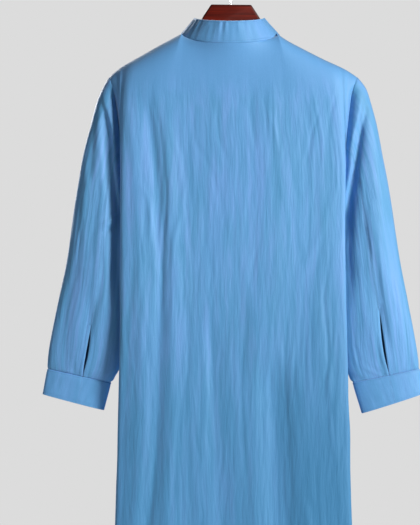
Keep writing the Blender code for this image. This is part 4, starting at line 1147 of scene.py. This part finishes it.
for side in (LEFT, RIGHT):
    bottom = CUFF_BOTTOM[side]
    share = across_sleeve(side, ring_steps, np.float64(1.0))
    flatness = np.where(ring_steps <= 0.5 * ARM_STEPS, SIDE_FLATNESS, OUTER_FLATNESS[side])
    depth = CUFF_HALF_DEPTH * turned(ring_steps) ** flatness
    lower = placed(ring_faces, side, mix(bottom.inner_x, bottom.outer_x, share), depth,
                   mix(bottom.inner_z, bottom.outer_z, share))
    upper = sleeve_points(side, ring_faces, ring_steps, np.ones(len(ring_steps)))
    points = mix(upper[None], lower[None], closer_at_ends(CUFF_ROWS)[..., None])
    u, v = lengths_along(points, 1), lengths_along(points)
    to_edge = np.minimum(v, v[-1] - v)
    height = ripples(CUFF_FOLDS, u, v, 83 + side) + ripples(CUFF_PUCKERS, u, v, 87)
    height = height * ease(to_edge / CUFF_EDGE_FADE)
    height = height + BAND_PROUD * ease((v - 0.0005) / 0.0015)
    height = height + stitch_dip(to_edge, 0.0004, 0.0030, 0.0012)
    moved = points - side * grid_ways(points) * height[..., None]
    moved[0] = sleeve_grids[side][-1]
    moved[:, 0] = moved[:, -1] = 0.5 * (moved[:, 0] + moved[:, -1])
    cuff_grids[side] = moved
    numbers = grid_numbers(moved)
    numbers[:, -1] = numbers[:, 0]
    name = SIDE_NAME[side]
    cuffs[side] = cloth_piece(f"cuff_band_{name}", f"cuff_{name}", moved, (u, v),
                              DOUBLED_THICKNESS, crinkled=PRESSED, numbers=numbers,
                              flipped=side == RIGHT)

# %% [markdown]
# ## The band collar
#
# The collar is a doubled strip that stands on the neckline and leans inward. Its ends lap at
# the centre of the front, one over the other. Two rows of stitching, one beside the seam and
# one below the top edge, draw the cloth in, so the band puckers between them. Its foot flares
# a little at each side, where the corner of the neckline ends inside the band.

# %% Collar
COLLAR_HALF_WIDTH = 0.065
COLLAR_DEPTH = {BACK: 0.052, FRONT: 0.055}
COLLAR_TOP_Z = -0.084
COLLAR_DROP = {BACK: 0.0135, FRONT: 0.068}
COLLAR_LAP, COLLAR_LAP_EASE = 0.0125, 0.030
CAD_WALL, SEAM_GAP = 0.0020, 0.0003
COLLAR_ROWS = 16
FRONT_STATIONS, BACK_STATIONS = 90, 74
TUCK_SHARE, TUCK_DROP = 0.965, 0.0025
FOOT_FROM, FOOT_SPREAD, FOOT_FALL = 0.72, 0.0026, 0.0040
FOOT_TUCK_SHARE, FOOT_TUCK_DROP = 1.010, 0.0100
PUCKERS, PUCKER_FADE = Ripple(0.0012, 0.0062, 0.060), 0.003
COLLAR_WAVES, WAVE_FADE = Ripple(0.0007, 0.040, 0.05), 0.004
PUCKERED_BELOW, PUCKER_FROM, PUCKER_RISE = 0.35, 0.3, 0.35


def collar_top(face, side, s):
    turn = 0.5 * pi * s / NECK_SHARE
    forward = np.maximum(np.cos(turn), 0.0)
    depth = np.where(face == BACK, COLLAR_DEPTH[BACK], COLLAR_DEPTH[FRONT]) * forward
    drop = np.where(face == BACK, *(COLLAR_DROP[f] * forward ** NECK_ROUNDING[f]
                                    for f in (BACK, FRONT)))
    return placed(face, side, COLLAR_HALF_WIDTH * np.sin(turn), depth, COLLAR_TOP_Z - drop)


lap_share = NECK_SHARE * 2.0 / pi * np.arcsin(COLLAR_LAP / NECK_HALF_WIDTH)
half_faces = np.repeat([FRONT, BACK], [FRONT_STATIONS, BACK_STATIONS - 1])
half_shares = np.concatenate([np.linspace(-lap_share, NECK_SHARE, FRONT_STATIONS),
                              np.linspace(NECK_SHARE, 0.0, BACK_STATIONS)[1:]])
faces = np.concatenate([half_faces, half_faces[-2::-1]])
shares = np.concatenate([half_shares, half_shares[-2::-1]])
sides = np.where(np.arange(len(faces)) < len(half_faces), RIGHT, LEFT)
side_x, seam_depth, seam_z = np.where(faces == BACK, neckline(BACK, shares),
                                      neckline(FRONT, shares))
foot = ease((side_x / NECK_HALF_WIDTH - FOOT_FROM) / (1.0 - FOOT_FROM))
tucked = placed(faces, sides, side_x * mix(TUCK_SHARE, FOOT_TUCK_SHARE, foot),
                seam_depth * TUCK_SHARE, seam_z - mix(TUCK_DROP, FOOT_TUCK_DROP, foot))
seam = placed(faces, sides, side_x + FOOT_SPREAD * foot, seam_depth, seam_z - FOOT_FALL * foot)
top = collar_top(faces, sides, shares)
up = closer_at_ends(COLLAR_ROWS)[..., None]
collar_base = np.concatenate([tucked[None], mix(seam[None], top[None], up)])
station_x = NECK_HALF_WIDTH * np.sin(0.5 * pi * shares / NECK_SHARE)
apart = 0.5 * (CAD_WALL + SEAM_GAP) * ease(
    (COLLAR_LAP_EASE - station_x) / (COLLAR_LAP_EASE - SLOT_HALF_WIDTH))
apart = apart * (faces == FRONT) * -sides
u, v = lengths_along(collar_base, 1), lengths_along(collar_base)
u = u * u[:, [-1]].mean() / u[:, [-1]]
v = v - v[1]
to_edge = np.maximum(np.minimum(v, v[-1] - v), 0.0)
near_top = mix(PUCKERED_BELOW, 1.0, ease((v / v[-1] - PUCKER_FROM) / PUCKER_RISE))
lift = apart + BAND_PROUD * ease((v - 0.0004) / 0.0014)
lift = lift + ripples(PUCKERS, u, v, 91) * near_top * ease(to_edge / PUCKER_FADE)
lift = lift + ripples(COLLAR_WAVES, u, v, 93) * ease(to_edge / WAVE_FADE)
lift = lift + stitch_dip(to_edge, 0.0004, 0.0032, 0.0011)
lift = lift * ease((v + 0.0005) / 0.0005)
collar_points = collar_base - grid_ways(collar_base) * lift[..., None]
collar = cloth_piece("collar_band", "collar", collar_points, (u, -v), DOUBLED_THICKNESS,
                     bulge=0.5, crinkled=PRESSED, flipped=True)

# %% [markdown]
# ## The placket
#
# The front opens down to the chest. An outer strip covers the slot and carries the
# buttonholes, and an inner strip closes it from inside. Both are read from the front panel's
# own surface and moved out or in, so they follow the chest's curve.

# %% Placket strips
STRIP_THICKNESS = 0.0012
STRIP_TOP_GAP = 0.0015
OVER_LIFT, UNDER_LIFT = 0.0021, -0.0026
STRIP_LOW_ROWS, STRIP_HIGH_ROWS, STRIP_COLUMNS = 14, 76, 19
STRIP_WAVES, STRIP_EDGE_FADE = Ripple(0.00018, 0.010, 0.016), 0.003
strip_top = 1.0 - STRIP_TOP_GAP / (neckline(FRONT, 0.0)[2] - UNDERARM_Z)
strip_levels = np.concatenate([
    np.linspace(level_below_underarm(STRIP_BOTTOM_Z), 0.0, STRIP_LOW_ROWS),
    np.linspace(0.0, strip_top, STRIP_HIGH_ROWS)[1:]])
strip_grids, strips = {}, {}


def strip_base():
    """The front panel's plain surface under a strip."""
    columns = []
    for x in STRIP_HALF_WIDTH * np.sin(0.5 * pi * np.linspace(-1.0, 1.0, STRIP_COLUMNS)):
        side = LEFT if x < 0.0 else RIGHT
        share = share_at(FRONT, side, abs(x), strip_levels) if abs(x) > 1e-9 else 0.0
        columns.append(body_points(FRONT, side, share, strip_levels))
    return np.stack(columns, axis=1)


base = strip_base()
u, v = lengths_along(base, 1), lengths_along(base)
to_edge = np.minimum(np.minimum(u, u[:, [-1]] - u), v + 0.001)
for name, lift, seed in (("over", OVER_LIFT, 101), ("under", UNDER_LIFT, 103)):
    height = lift + ripples(STRIP_WAVES, u, v, seed) * ease(to_edge / STRIP_EDGE_FADE)
    height = height + stitch_dip(to_edge, 0.0003, 0.0030, 0.0010)
    strip_grids[name] = base - grid_ways(base) * height[..., None]
    strips[name] = cloth_piece(f"strip_{name}", f"placket_{name}", strip_grids[name], (u, -v),
                               STRIP_THICKNESS, crinkled=PRESSED, flipped=True)

# %% [markdown]
# ## Stitches
#
# A line of topstitching is a row of short threads, each pulled down at its ends. One mesh
# holds them all: every stitch is a slim body of two rings and two tips. A curve with a
# bevel would also do, but it can't show the gaps between the stitches.

# %% Stitch maker
STITCH_PITCH, STITCH_LENGTH = 0.0029, 0.0023
THREAD_RADIUS = 0.00024
STITCH_SUNK, STITCH_FULL, STITCH_PROUD = 0.8, 0.55, 0.4
HALF_A_LOOK = 0.0005


def stitch_bodies(middles, along, outward, length, radius):
    """Points and faces of slim stitches at the given middles."""
    along, outward = unit(along), unit(outward)
    aside = unit(np.cross(along, outward))
    half = 0.5 * length
    ring = [outward * radius, aside * radius, -outward * radius, -aside * radius]
    points = [middles - along * half - outward * radius * STITCH_SUNK]
    points += [middles - along * half * STITCH_FULL + p for p in ring]
    points += [middles + along * half * STITCH_FULL + p for p in ring]
    points += [middles + along * half - outward * radius * STITCH_SUNK]
    one = [(1 + k, 1 + (k + 1) % 4, 5 + (k + 1) % 4, 5 + k) for k in range(4)]
    one += [(0, 1 + (k + 1) % 4, 1 + k) for k in range(4)]
    one += [(9, 5 + k, 5 + (k + 1) % 4) for k in range(4)]
    faces = [tuple(start + i for i in face)
             for start in range(0, 10 * len(middles), 10) for face in one]
    return np.stack(points, axis=1).reshape(-1, 3), faces


def along_path(at, length, path):
    """Places on a path, or directions beside it, at lengths along it."""
    return np.stack([np.interp(at, length, path[:, k]) for k in range(3)], axis=-1)


def row_of_stitches(path, outward):
    """Middles, directions and outward ways of stitches a pitch apart on a path."""
    length = lengths_along(path)
    at = np.arange(0.5 * STITCH_PITCH, length[-1], STITCH_PITCH)
    ahead, behind = (along_path(at + step, length, path)
                     for step in (HALF_A_LOOK, -HALF_A_LOOK))
    ways = along_path(at, length, outward)
    middles = along_path(at, length, path) + unit(ways) * THREAD_RADIUS * STITCH_PROUD
    return middles, ahead - behind, ways


def thread_piece(name, rows, length=STITCH_LENGTH, radius=THREAD_RADIUS):
    points, faces = [], []
    for middles, along, outward in rows:
        found, bodies = stitch_bodies(middles, along, outward, length, radius)
        start = sum(len(p) for p in points)
        points.append(found)
        faces += [tuple(start + i for i in body) for body in bodies]
    mesh = new_mesh(name, np.concatenate(points).tolist(), faces)
    mesh.shade_smooth()
    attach(add_object(name, mesh, thread), "root")
    print(name, "has", sum(len(row[0]) for row in rows), "stitches")


def line_at(points, ways, distance, from_end=False):
    """The line on a grid that is a distance from its first row, or from its last."""
    if from_end:
        points, ways = points[::-1], ways[::-1]
    length = lengths_along(points)
    return [np.array([along_path(distance, length[:, column], grid[:, column])
                      for column in range(grid.shape[1])]) for grid in (points, ways)]


# %% Rows of stitches
HEM_STITCH_FROM_EDGE, HEM_ROWS, HEM_SKIPPED = 0.020, 12, 4
STRIP_SKIPPED = 2
BAND_STITCH_FROM_EDGE = 0.0030
hem, collar_rows, cuff_rows, slit_rows, placket_rows = [], [], [], [], []
for points, facing in ((back_points[:HEM_ROWS], 1.0), (front_points[:HEM_ROWS], -1.0)):
    line = line_at(points, grid_ways(points) * facing, HEM_STITCH_FROM_EDGE)
    hem.append(row_of_stitches(*[grid[HEM_SKIPPED:-HEM_SKIPPED] for grid in line]))
over, collar_grid = strip_grids["over"], collar_points[1:]
collar_ways, over_ways = -grid_ways(collar_points)[1:], -grid_ways(over)
for from_end in (False, True):
    collar_rows.append(row_of_stitches(*line_at(
        collar_grid, collar_ways, BAND_STITCH_FROM_EDGE, from_end)))
    for side in (LEFT, RIGHT):
        cuff_rows.append(row_of_stitches(*line_at(
            cuff_grids[side], -side * grid_ways(cuff_grids[side]), BAND_STITCH_FROM_EDGE,
            from_end)))
    placket_rows.append(row_of_stitches(*line_at(
        np.swapaxes(over, 0, 1), np.swapaxes(over_ways, 0, 1), BAND_STITCH_FROM_EDGE,
        from_end)))
placket_rows.append(row_of_stitches(*[
    grid[STRIP_SKIPPED:-STRIP_SKIPPED]
    for grid in line_at(over, over_ways, BAND_STITCH_FROM_EDGE)]))
for side in (LEFT, RIGHT):
    first = round(SLIT[side].first_ring / SLEEVE_RINGS * SLEEVE_ROWS) - 1
    part, ways = (np.swapaxes(grid[first:-1], 0, 1)
                  for grid in (sleeve_grids[side], -side * grid_ways(sleeve_grids[side])))
    one, other = (line_at(part, ways, FACING_WIDTH - 0.001, end) for end in (False, True))
    slit_rows.append(row_of_stitches(*[
        np.concatenate([a[::-1], b]) for a, b in zip(one, other)]))
for name, rows in (("hem", hem), ("collar", collar_rows), ("cuff", cuff_rows),
                   ("slit", slit_rows), ("placket", placket_rows)):
    thread_piece(f"stitches_{name}", rows)

# %% [markdown]
# ## Buttons
#
# A shirt button is a turned disc of polyester resin, with a raised rim, a dished middle and
# four holes. Turning a profile round an axis gives the disc, as a lathe does, and a boolean
# drills the holes. Two crossed threads hold it on. The resin is dyed to match the cloth.

# %% Resin material
CLOUD_SIZE = 0.0032
resin, resin_shader = new_material("polyester button resin", Roughness=0.28, IOR=1.54,
                                   Coat_Weight=0.3, Coat_Roughness=0.12)
resin_place = add_node(resin, "ShaderNodeTexCoord")
cloud = add_node(resin, "ShaderNodeTexNoise", {
    "Vector": resin_place.outputs["Object"], "Scale": 1.0 / CLOUD_SIZE, "Detail": 3.0,
    "Distortion": 1.2})
resin_colour = add_node(resin, "ShaderNodeValToRGB", {"Fac": cloud}, stops=(
    (0.3, "#3C74A6"), (0.55, "#4C88BC"), (0.8, "#6FA6D3")))
feed(resin_shader, {"Base Color": resin_colour})
print("resin clouds in mm:", 1000 * CLOUD_SIZE)

# %% Buttons
HOLE_RADIUS, HOLE_FROM_CENTRE = 0.00065, 0.00165
TURN_STEPS, HOLE_STEPS = 40, 12
SHARP_ANGLE = radians(40)
PLACKET_BUTTON_LEVELS = (0.72, 0.36, 0.0)
BUTTON_PROFILE = ((0.0, 0.0), (0.0046, 0.0), (0.0055, 0.0004), (0.0058, 0.0011),
                  (0.0057, 0.0020), (0.0053, 0.0025), (0.0049, 0.0026), (0.0044, 0.0024),
                  (0.0037, 0.0018), (0.0, 0.0017))
DRILL_FROM, DRILL_TO = -0.001, 0.004
DRILL_PROFILE = ((0.0, DRILL_FROM), (HOLE_RADIUS, DRILL_FROM), (HOLE_RADIUS, DRILL_TO),
                 (0.0, DRILL_TO))
LEVEL_STEP = 0.02


def turned_mesh(name, profile, steps):
    """Closed body from a profile of radius and height, turned about Z."""
    turns = [2.0 * pi * k / steps for k in range(steps)]
    points = [(0.0, 0.0, profile[0][1])]
    for radius, height in profile[1:-1]:
        points += [(radius * cos(t), radius * sin(t), height) for t in turns]
    points.append((0.0, 0.0, profile[-1][1]))
    rings = len(profile) - 2
    faces = []
    for k in range(steps):
        n = (k + 1) % steps
        faces.append((0, 1 + n, 1 + k))
        for r in range(rings - 1):
            a, b = 1 + r * steps, 1 + (r + 1) * steps
            faces.append((a + k, a + n, b + n, b + k))
        last = 1 + (rings - 1) * steps
        faces.append((last + k, last + n, len(points) - 1))
    return new_mesh(name, points, faces)


def drilled_button(name):
    """A button's mesh with its four holes, lying on the XY plane."""
    disc = add_object(name, turned_mesh(name, BUTTON_PROFILE, TURN_STEPS), resin)
    drills = []
    for k in range(4):
        turn = pi * (0.25 + 0.5 * k)
        drill = add_object("drill", turned_mesh("drill", DRILL_PROFILE, HOLE_STEPS))
        drill.location = (HOLE_FROM_CENTRE * cos(turn), HOLE_FROM_CENTRE * sin(turn), 0.0)
        cut = disc.modifiers.new("hole", "BOOLEAN")
        cut.object, cut.operation = drill, "DIFFERENCE"
        drills.append(drill)
    finished = disc.evaluated_get(bpy.context.evaluated_depsgraph_get())
    drilled = bpy.data.meshes.new_from_object(finished)
    for thing in [disc, *drills]:
        bpy.data.objects.remove(thing, do_unlink=True)
    drilled.shade_smooth()
    drilled.set_sharp_from_angle(angle=SHARP_ANGLE)
    return drilled


def outward_of(upward):
    return Vector((-1.0, 0.0, 0.0)).cross(Vector(upward).normalized()).normalized()


def button_seats():
    """Seat and outward way of each button, read from the collar and from the front panel."""
    seam_middle = placed(FRONT, RIGHT, *neckline(FRONT, np.float64(0.0)))
    edge_middle = collar_top(np.int64(FRONT), RIGHT, np.float64(0.0))
    out = outward_of(edge_middle - seam_middle)
    middle = Vector(mix(seam_middle, edge_middle, 0.5))
    seats = {"button_collar": (middle + out * 0.5 * (CAD_WALL + SEAM_GAP), out)}
    for number, level in enumerate(PLACKET_BUTTON_LEVELS, 1):
        above, seat, below = (body_points(FRONT, RIGHT, 0.0, level + step)
                              for step in (LEVEL_STEP, 0.0, -LEVEL_STEP))
        out = outward_of(above - below)
        seats[f"button_{number}"] = (Vector(seat) + out * OVER_LIFT, out)
    return seats


BUTTONHOLE_LENGTH, BUTTONHOLE_HALF_WIDTH, SATIN_PITCH = 0.0150, 0.0008, 0.00045
BUTTON_DISH, SATIN_LIFT = 0.0019, 0.0001
ACROSS = np.array((1.0, 0.0, 0.0))
reach = np.arange(-0.5 * BUTTONHOLE_LENGTH, 0.5 * BUTTONHOLE_LENGTH, SATIN_PITCH)
button_threads, satin_rows = [], []
for name, (seat, out) in button_seats().items():
    button_mesh = drilled_button(name)
    turn = out.to_track_quat("Z", "Y").to_matrix().to_4x4()
    turn.translation = seat + out * SEAM_GAP
    button_mesh.transform(turn)
    button = add_object(f"turned_{name}", button_mesh)
    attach(button, "root")
    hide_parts(name)
    seat, way = np.array(seat), np.array(out)
    down = np.cross(way, ACROSS)
    for tilt in (1.0, -1.0):
        button_threads.append(((seat + way * (SEAM_GAP + BUTTON_DISH))[None],
                               (ACROSS + tilt * down)[None], way[None]))
    slot_way, side_way = (ACROSS, down) if name == "button_collar" else (down, ACROSS)
    for aside in (-BUTTONHOLE_HALF_WIDTH, BUTTONHOLE_HALF_WIDTH):
        middles = seat + reach[:, None] * slot_way + aside * side_way + way * SATIN_LIFT
        satin_rows.append((middles, np.tile(side_way, (len(reach), 1)),
                           np.tile(way, (len(reach), 1))))
thread_piece("stitches_buttons", button_threads, length=0.0050, radius=0.0004)
thread_piece("stitches_buttonholes", satin_rows, length=0.0014, radius=0.00026)
print("buttons:", len(button_seats()))

# %% [markdown]
# ## Lacquered wood
#
# The hanger is sawn from a board of reddish hardwood, stained to mahogany, and lacquered. The
# grain runs along the board, so the noise is stretched along X. A clear coat over a rougher
# base gives the glaze. The rounded edges are painted darker than the face: painted shade where
# they turn away from the light.

# %% Wood material
GRAIN_LONG, GRAIN_WIDE = 0.120, 0.0045
PORE_RELIEF = 0.00010
wood, wood_shader = new_material("stained and lacquered hardwood", Roughness=0.34, IOR=1.50,
                                 Coat_Weight=0.15, Coat_Roughness=0.08, Coat_IOR=1.50)
wood_place = add_node(wood, "ShaderNodeTexCoord")
along_board = add_node(wood, "ShaderNodeMapping", {
    "Vector": wood_place.outputs["Object"],
    "Scale": (1.0 / GRAIN_LONG, 1.0 / GRAIN_WIDE, 1.0 / GRAIN_WIDE)})
grain = add_node(wood, "ShaderNodeTexNoise", {
    "Vector": along_board, "Scale": 1.0, "Detail": 5.0, "Roughness": 0.6, "Distortion": 0.8})
pores = add_node(wood, "ShaderNodeTexNoise", {
    "Vector": along_board, "Scale": 5.0, "Detail": 2.0})
face_colour = add_node(wood, "ShaderNodeValToRGB", {"Fac": grain}, stops=(
    (0.30, "#470D06"), (0.48, "#5F1509"), (0.62, "#701B0C"), (0.78, "#842510")))
# Painted shade: the rounded edges are coloured darker than the face, by the edge attribute.
edge = add_node(wood, "ShaderNodeAttribute", attribute_name="edge")
wood_colour = add_node(wood, "ShaderNodeMix", {
    "Factor": edge.outputs["Fac"], "A": face_colour, "B": linear("#3A0F08")}, data_type="RGBA")
pore_height = add_node(wood, "ShaderNodeMath", {0: pores, 1: PORE_RELIEF}, operation="MULTIPLY")
wood_bump = add_node(wood, "ShaderNodeBump", {
    "Height": pore_height, "Strength": 1.0, "Distance": 1.0})
feed(wood_shader, {"Base Color": wood_colour, "Normal": wood_bump})
print("wood grain in mm:", 1000 * GRAIN_LONG, "by", 1000 * GRAIN_WIDE)

# %% [markdown]
# ## The wooden hanger
#
# Half of the board's outline is drawn as a smooth curve: the flat top, the neck's flank, the
# arm under the shoulder line, the tip and the underside. It is mirrored, and the edges are
# rounded by rings that step inward as they near each face.

# %% Wooden hanger
WOOD_HALF_THICKNESS, WOOD_ROUNDING, ROUNDING_STEPS = 0.0090, 0.0035, 4
WOOD_TOP_Z, FLAT_TOP_END, FLAT_TOP_STEPS = -0.0600, 0.0355, 9
WOOD_CORNER = ((0.0368, -0.0602), (0.0379, -0.0609))
WOOD_NECK = ((0.0375, WOOD_TOP_Z), (0.0535, -0.0845), (0.0615, -0.0985), (0.0705, -0.1110),
             (0.0830, -0.1190))
WOOD_ARM_X = (0.098, 0.115, 0.130, 0.150, 0.170, 0.190, 0.200)
WOOD_ARM_DROP = 0.0056
WOOD_TIP = ((0.0070, -0.0065), (0.0115, -0.0140), (0.0115, -0.0215), (0.0055, -0.0275))
WOOD_UNDERSIDE = ((0.1900, -0.2020), (0.1600, -0.1870), (0.1300, -0.1715), (0.1000, -0.1570),
                  (0.0700, -0.1490), (0.0350, -0.1465), (0.0, -0.1460))
HANGER_TILT = radians(0.6)
SHOULDER_MIDDLE_Z = -0.150
OUTLINE_STEPS = 170
SHARPEST_CORNER = 0.75
EDGE_SHADE_PAINTED = 1.4


def tilted(x, z):
    """A place in the scene from one in the hanger's own frame, which hangs a little askew."""
    return (x * cos(HANGER_TILT) + z * sin(HANGER_TILT),
            z * cos(HANGER_TILT) - x * sin(HANGER_TILT))


def arm_top(x):
    """Height of the arm, in the hanger's own frame, under the lower of the shoulder lines."""
    heights = []
    for side in (LEFT, RIGHT):
        from_centre = x + side * (SHOULDER_MIDDLE_Z * sin(HANGER_TILT) - LEAN_TOP)
        along = (from_centre - NECK_HALF_WIDTH) / (SHOULDER_X[side] - NECK_HALF_WIDTH)
        line = through(SHOULDER.along, getattr(SHOULDER, SIDE_NAME[side]), along)
        heights.append(line + side * x * sin(HANGER_TILT))
    return min(heights) - WOOD_ARM_DROP


def quarter_turn(ways):
    return np.stack([ways[:, 1], -ways[:, 0]], axis=1)


arm = [(x, float(arm_top(x))) for x in WOOD_ARM_X]
tip = [(arm[-1][0] + x, arm[-1][1] + z) for x, z in WOOD_TIP]
drawn = np.array([*WOOD_NECK, *arm, *tip, *WOOD_UNDERSIDE])
length = lengths_along(drawn)
right_half = through(length, drawn, np.linspace(0.0, length[-1], OUTLINE_STEPS))
flat_top = [(x, WOOD_TOP_Z) for x in np.linspace(0.0, FLAT_TOP_END, FLAT_TOP_STEPS)]
right_half = np.concatenate([flat_top, WOOD_CORNER, right_half[2:]])
outline = np.concatenate([right_half, (right_half * (-1.0, 1.0))[-2:0:-1]])
before, after = np.roll(outline, 1, axis=0), np.roll(outline, -1, axis=0)
inward_one = quarter_turn(unit(outline - before))
inward = unit(inward_one + quarter_turn(unit(after - outline)))
inward /= np.clip((inward * inward_one).sum(axis=1), SHARPEST_CORNER, 1.0)[:, None]

# Each ring also gets a share of painted shade, darker the more the ring turns from the face.
rings, painted_edge_shade = [], []
for face in (-1, 1):
    for step in range(ROUNDING_STEPS + 1):
        turn = 0.5 * pi * (step if face < 0 else ROUNDING_STEPS - step) / ROUNDING_STEPS
        flat = outline + inward * WOOD_ROUNDING * (1.0 - sin(turn))
        y = face * (WOOD_HALF_THICKNESS - WOOD_ROUNDING * (1.0 - cos(turn)))
        x, z = tilted(flat[:, 0], flat[:, 1])
        rings.append(np.stack([x, np.full(len(flat), y), z], axis=1))
        painted_edge_shade += [min(1.0, EDGE_SHADE_PAINTED * sin(turn))] * len(flat)
count, last = len(outline), len(outline) * len(rings) - 1
faces = [list(range(count)), list(range(last, last - count, -1))]
for ring in range(0, last + 1 - count, count):
    for k in range(count):
        n = (k + 1) % count
        faces.append([ring + k, ring + count + k, ring + count + n, ring + n])
wood_mesh = new_mesh("hanger_board", np.concatenate(rings).tolist(), faces)
wood_mesh.shade_smooth()
wood_mesh.attributes.new("edge", "FLOAT", "POINT").data.foreach_set("value", painted_edge_shade)
wood_mesh.set_sharp_from_angle(angle=SHARP_ANGLE)
hanger = add_object("hanger_board", wood_mesh, wood)
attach(hanger, "root")
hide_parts("hanger_wood")
print("hanger outline points:", count)

# %% [markdown]
# ## The hook
#
# The hook is one length of round steel wire, bright nickel-plated, bent round a former and
# driven into the wood. A curve with a round bevel is the natural way to make wire: its line
# is the wire's own centre line. A metal has no colour of its own besides its reflection, so
# the base colour is its reflectance, and faint lengthwise draw marks vary the roughness.

# %% Wire material
DRAW_MARK_SIZE = 0.004
SMOOTHEST, ROUGHEST = 0.16, 0.32
steel, steel_shader = new_material("nickel-plated steel wire", Metallic=1.0,
                                   Base_Color=linear("#C9C8C3"))
steel_place = add_node(steel, "ShaderNodeTexCoord")
draw_marks = add_node(steel, "ShaderNodeTexNoise", {
    "Vector": steel_place.outputs["Object"], "Scale": 1.0 / DRAW_MARK_SIZE, "Detail": 3.0})
rough_steel = add_node(steel, "ShaderNodeMapRange", {
    "Value": draw_marks, "To Min": SMOOTHEST, "To Max": ROUGHEST})
feed(steel_shader, {"Roughness": rough_steel})
print("steel roughness from", SMOOTHEST, "to", ROUGHEST)

# %% Hook
HOOK_WIRE_RADIUS, CROOK_INNER_RADIUS = 0.0015, 0.018
CROOK_FROM, CROOK_TO, CROOK_STEPS = radians(205), radians(-62), 66
SHANK_BEND = ((0.0050, -0.0405), (0.0012, -0.0455), (0.0, -0.0500))
SHANK_STEPS = 24

crook_radius = CROOK_INNER_RADIUS + HOOK_WIRE_RADIUS
turns = np.linspace(CROOK_FROM, CROOK_TO, CROOK_STEPS + 1)
crook = [(crook_radius * cos(t), crook_radius * sin(t) - CROOK_INNER_RADIUS) for t in turns]
shank = np.array([crook[-1], *SHANK_BEND, (0.0, WOOD_TOP_Z + SEAM_GAP)])
length = lengths_along(shank)
crook += list(through(length, shank, np.linspace(0.0, length[-1], SHANK_STEPS)[1:]))
wire = bpy.data.curves.new("hook_wire", "CURVE")
wire.dimensions = "3D"
wire.bevel_depth = HOOK_WIRE_RADIUS
wire.bevel_resolution = 5
wire.use_fill_caps = True
line = wire.splines.new("POLY")
line.points.add(len(crook) - 1)
for point, place in zip(line.points, crook):
    x, z = tilted(*place)
    point.co = (x, 0.0, z, 1.0)
line.use_smooth = True
hook = add_object("hook_wire", wire, steel)
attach(hook, "root")
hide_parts("hanger_hook")
print("wire points:", len(crook))

# %% [markdown]
# ## Cut sizes
#
# Each piece of cloth is listed with the width and length of its cut, measured flat, and its
# area, and the area of one layer in the scene is printed beside the cut's.

# %% Sheets of cloth
CUTS = {
    back: (0.54, 1.20, 0.586),
    front: (0.54, 1.17, 0.571),
    collar: (0.50, 0.048, 0.0234),
    sleeves[LEFT]: (0.56, 0.62, 0.133),
    sleeves[RIGHT]: (0.58, 0.62, 0.132),
    cuffs[LEFT]: (0.250, 0.054, 0.0133),
    cuffs[RIGHT]: (0.260, 0.056, 0.0143),
    strips["over"]: (0.0352, 0.332, 0.0116),
    strips["under"]: (0.0352, 0.332, 0.0116),
}
for piece, (width, length, area) in CUTS.items():
    print(piece.name, "area", round(single_area(piece), 4), "cut", area)

# %% [markdown]
# ## Studio
#
# The floor is a plain pale disc, well below the hem, because the garment hangs. The light is
# a large soft key from the right, level with the chest, which gives the crinkles their shade,
# a weak fill from the left, and one lamp behind for the garment's front. The camera sees an
# even pale wall, but the wall's own light on the cloth is kept low.

# %% Floor and light
FLOOR_Z, FLOOR_RADIUS, FLOOR_STEPS = -1.62, 2.6, 96
PALE = "#DCDCDC"
floor_turns = np.linspace(0.0, 2.0 * pi, FLOOR_STEPS + 1)[:-1]
floor_rim = [(FLOOR_RADIUS * cos(t), FLOOR_RADIUS * sin(t), FLOOR_Z) for t in floor_turns]
plaster, plaster_shader = new_material("matt painted floor", Roughness=0.9)
plaster_place = add_node(plaster, "ShaderNodeTexCoord")
mottle = add_node(plaster, "ShaderNodeTexNoise", {
    "Vector": plaster_place.outputs["Object"], "Scale": 6.0, "Detail": 3.0})
plaster_colour = add_node(plaster, "ShaderNodeValToRGB", {"Fac": mottle}, stops=(
    (0.3, "#DBDBDB"), (0.7, "#DEDEDE")))
feed(plaster_shader, {"Base Color": plaster_colour})
add_object("floor", new_mesh("floor", floor_rim, [tuple(range(FLOOR_STEPS))]), plaster)

scene = bpy.context.scene
scene.view_settings.view_transform = "Standard"
world = scene.world or bpy.data.worlds.new("studio")
scene.world = world
world.use_nodes = True
world.node_tree.nodes.clear()
shown = add_node(world, "ShaderNodeBackground", {"Color": linear(PALE)})
surround = add_node(world, "ShaderNodeBackground", {
    "Color": linear("#F4F7FA"), "Strength": 0.05})
seen = add_node(world, "ShaderNodeLightPath")
either = add_node(world, "ShaderNodeMixShader", {
    "Fac": seen.outputs["Is Camera Ray"], 1: surround, 2: shown})
add_node(world, "ShaderNodeOutputWorld", {"Surface": either})


def soft_light(name, place, target, size, watts, colour):
    data = bpy.data.lights.new(name, "AREA")
    data.shape = "DISK"
    data.size = size
    data.energy = watts
    data.color = linear(colour)[:3]
    light = add_object(name, data)
    light.location = place
    light.rotation_euler = (Vector(target) - Vector(place)).to_track_quat("-Z", "Y").to_euler()


soft_light("key", (3.7, -2.85, 0.95), (0.0, 0.0, -0.45), 1.5, 325.0, "#FFFEFA")
soft_light("fill", (-3.0, -1.8, 0.2), (0.0, 0.0, -0.6), 1.6, 14.0, "#F3F8FF")
soft_light("rear", (-1.6, 2.7, 0.5), (0.0, 0.0, -0.6), 1.5, 110.0, "#FFFFFF")
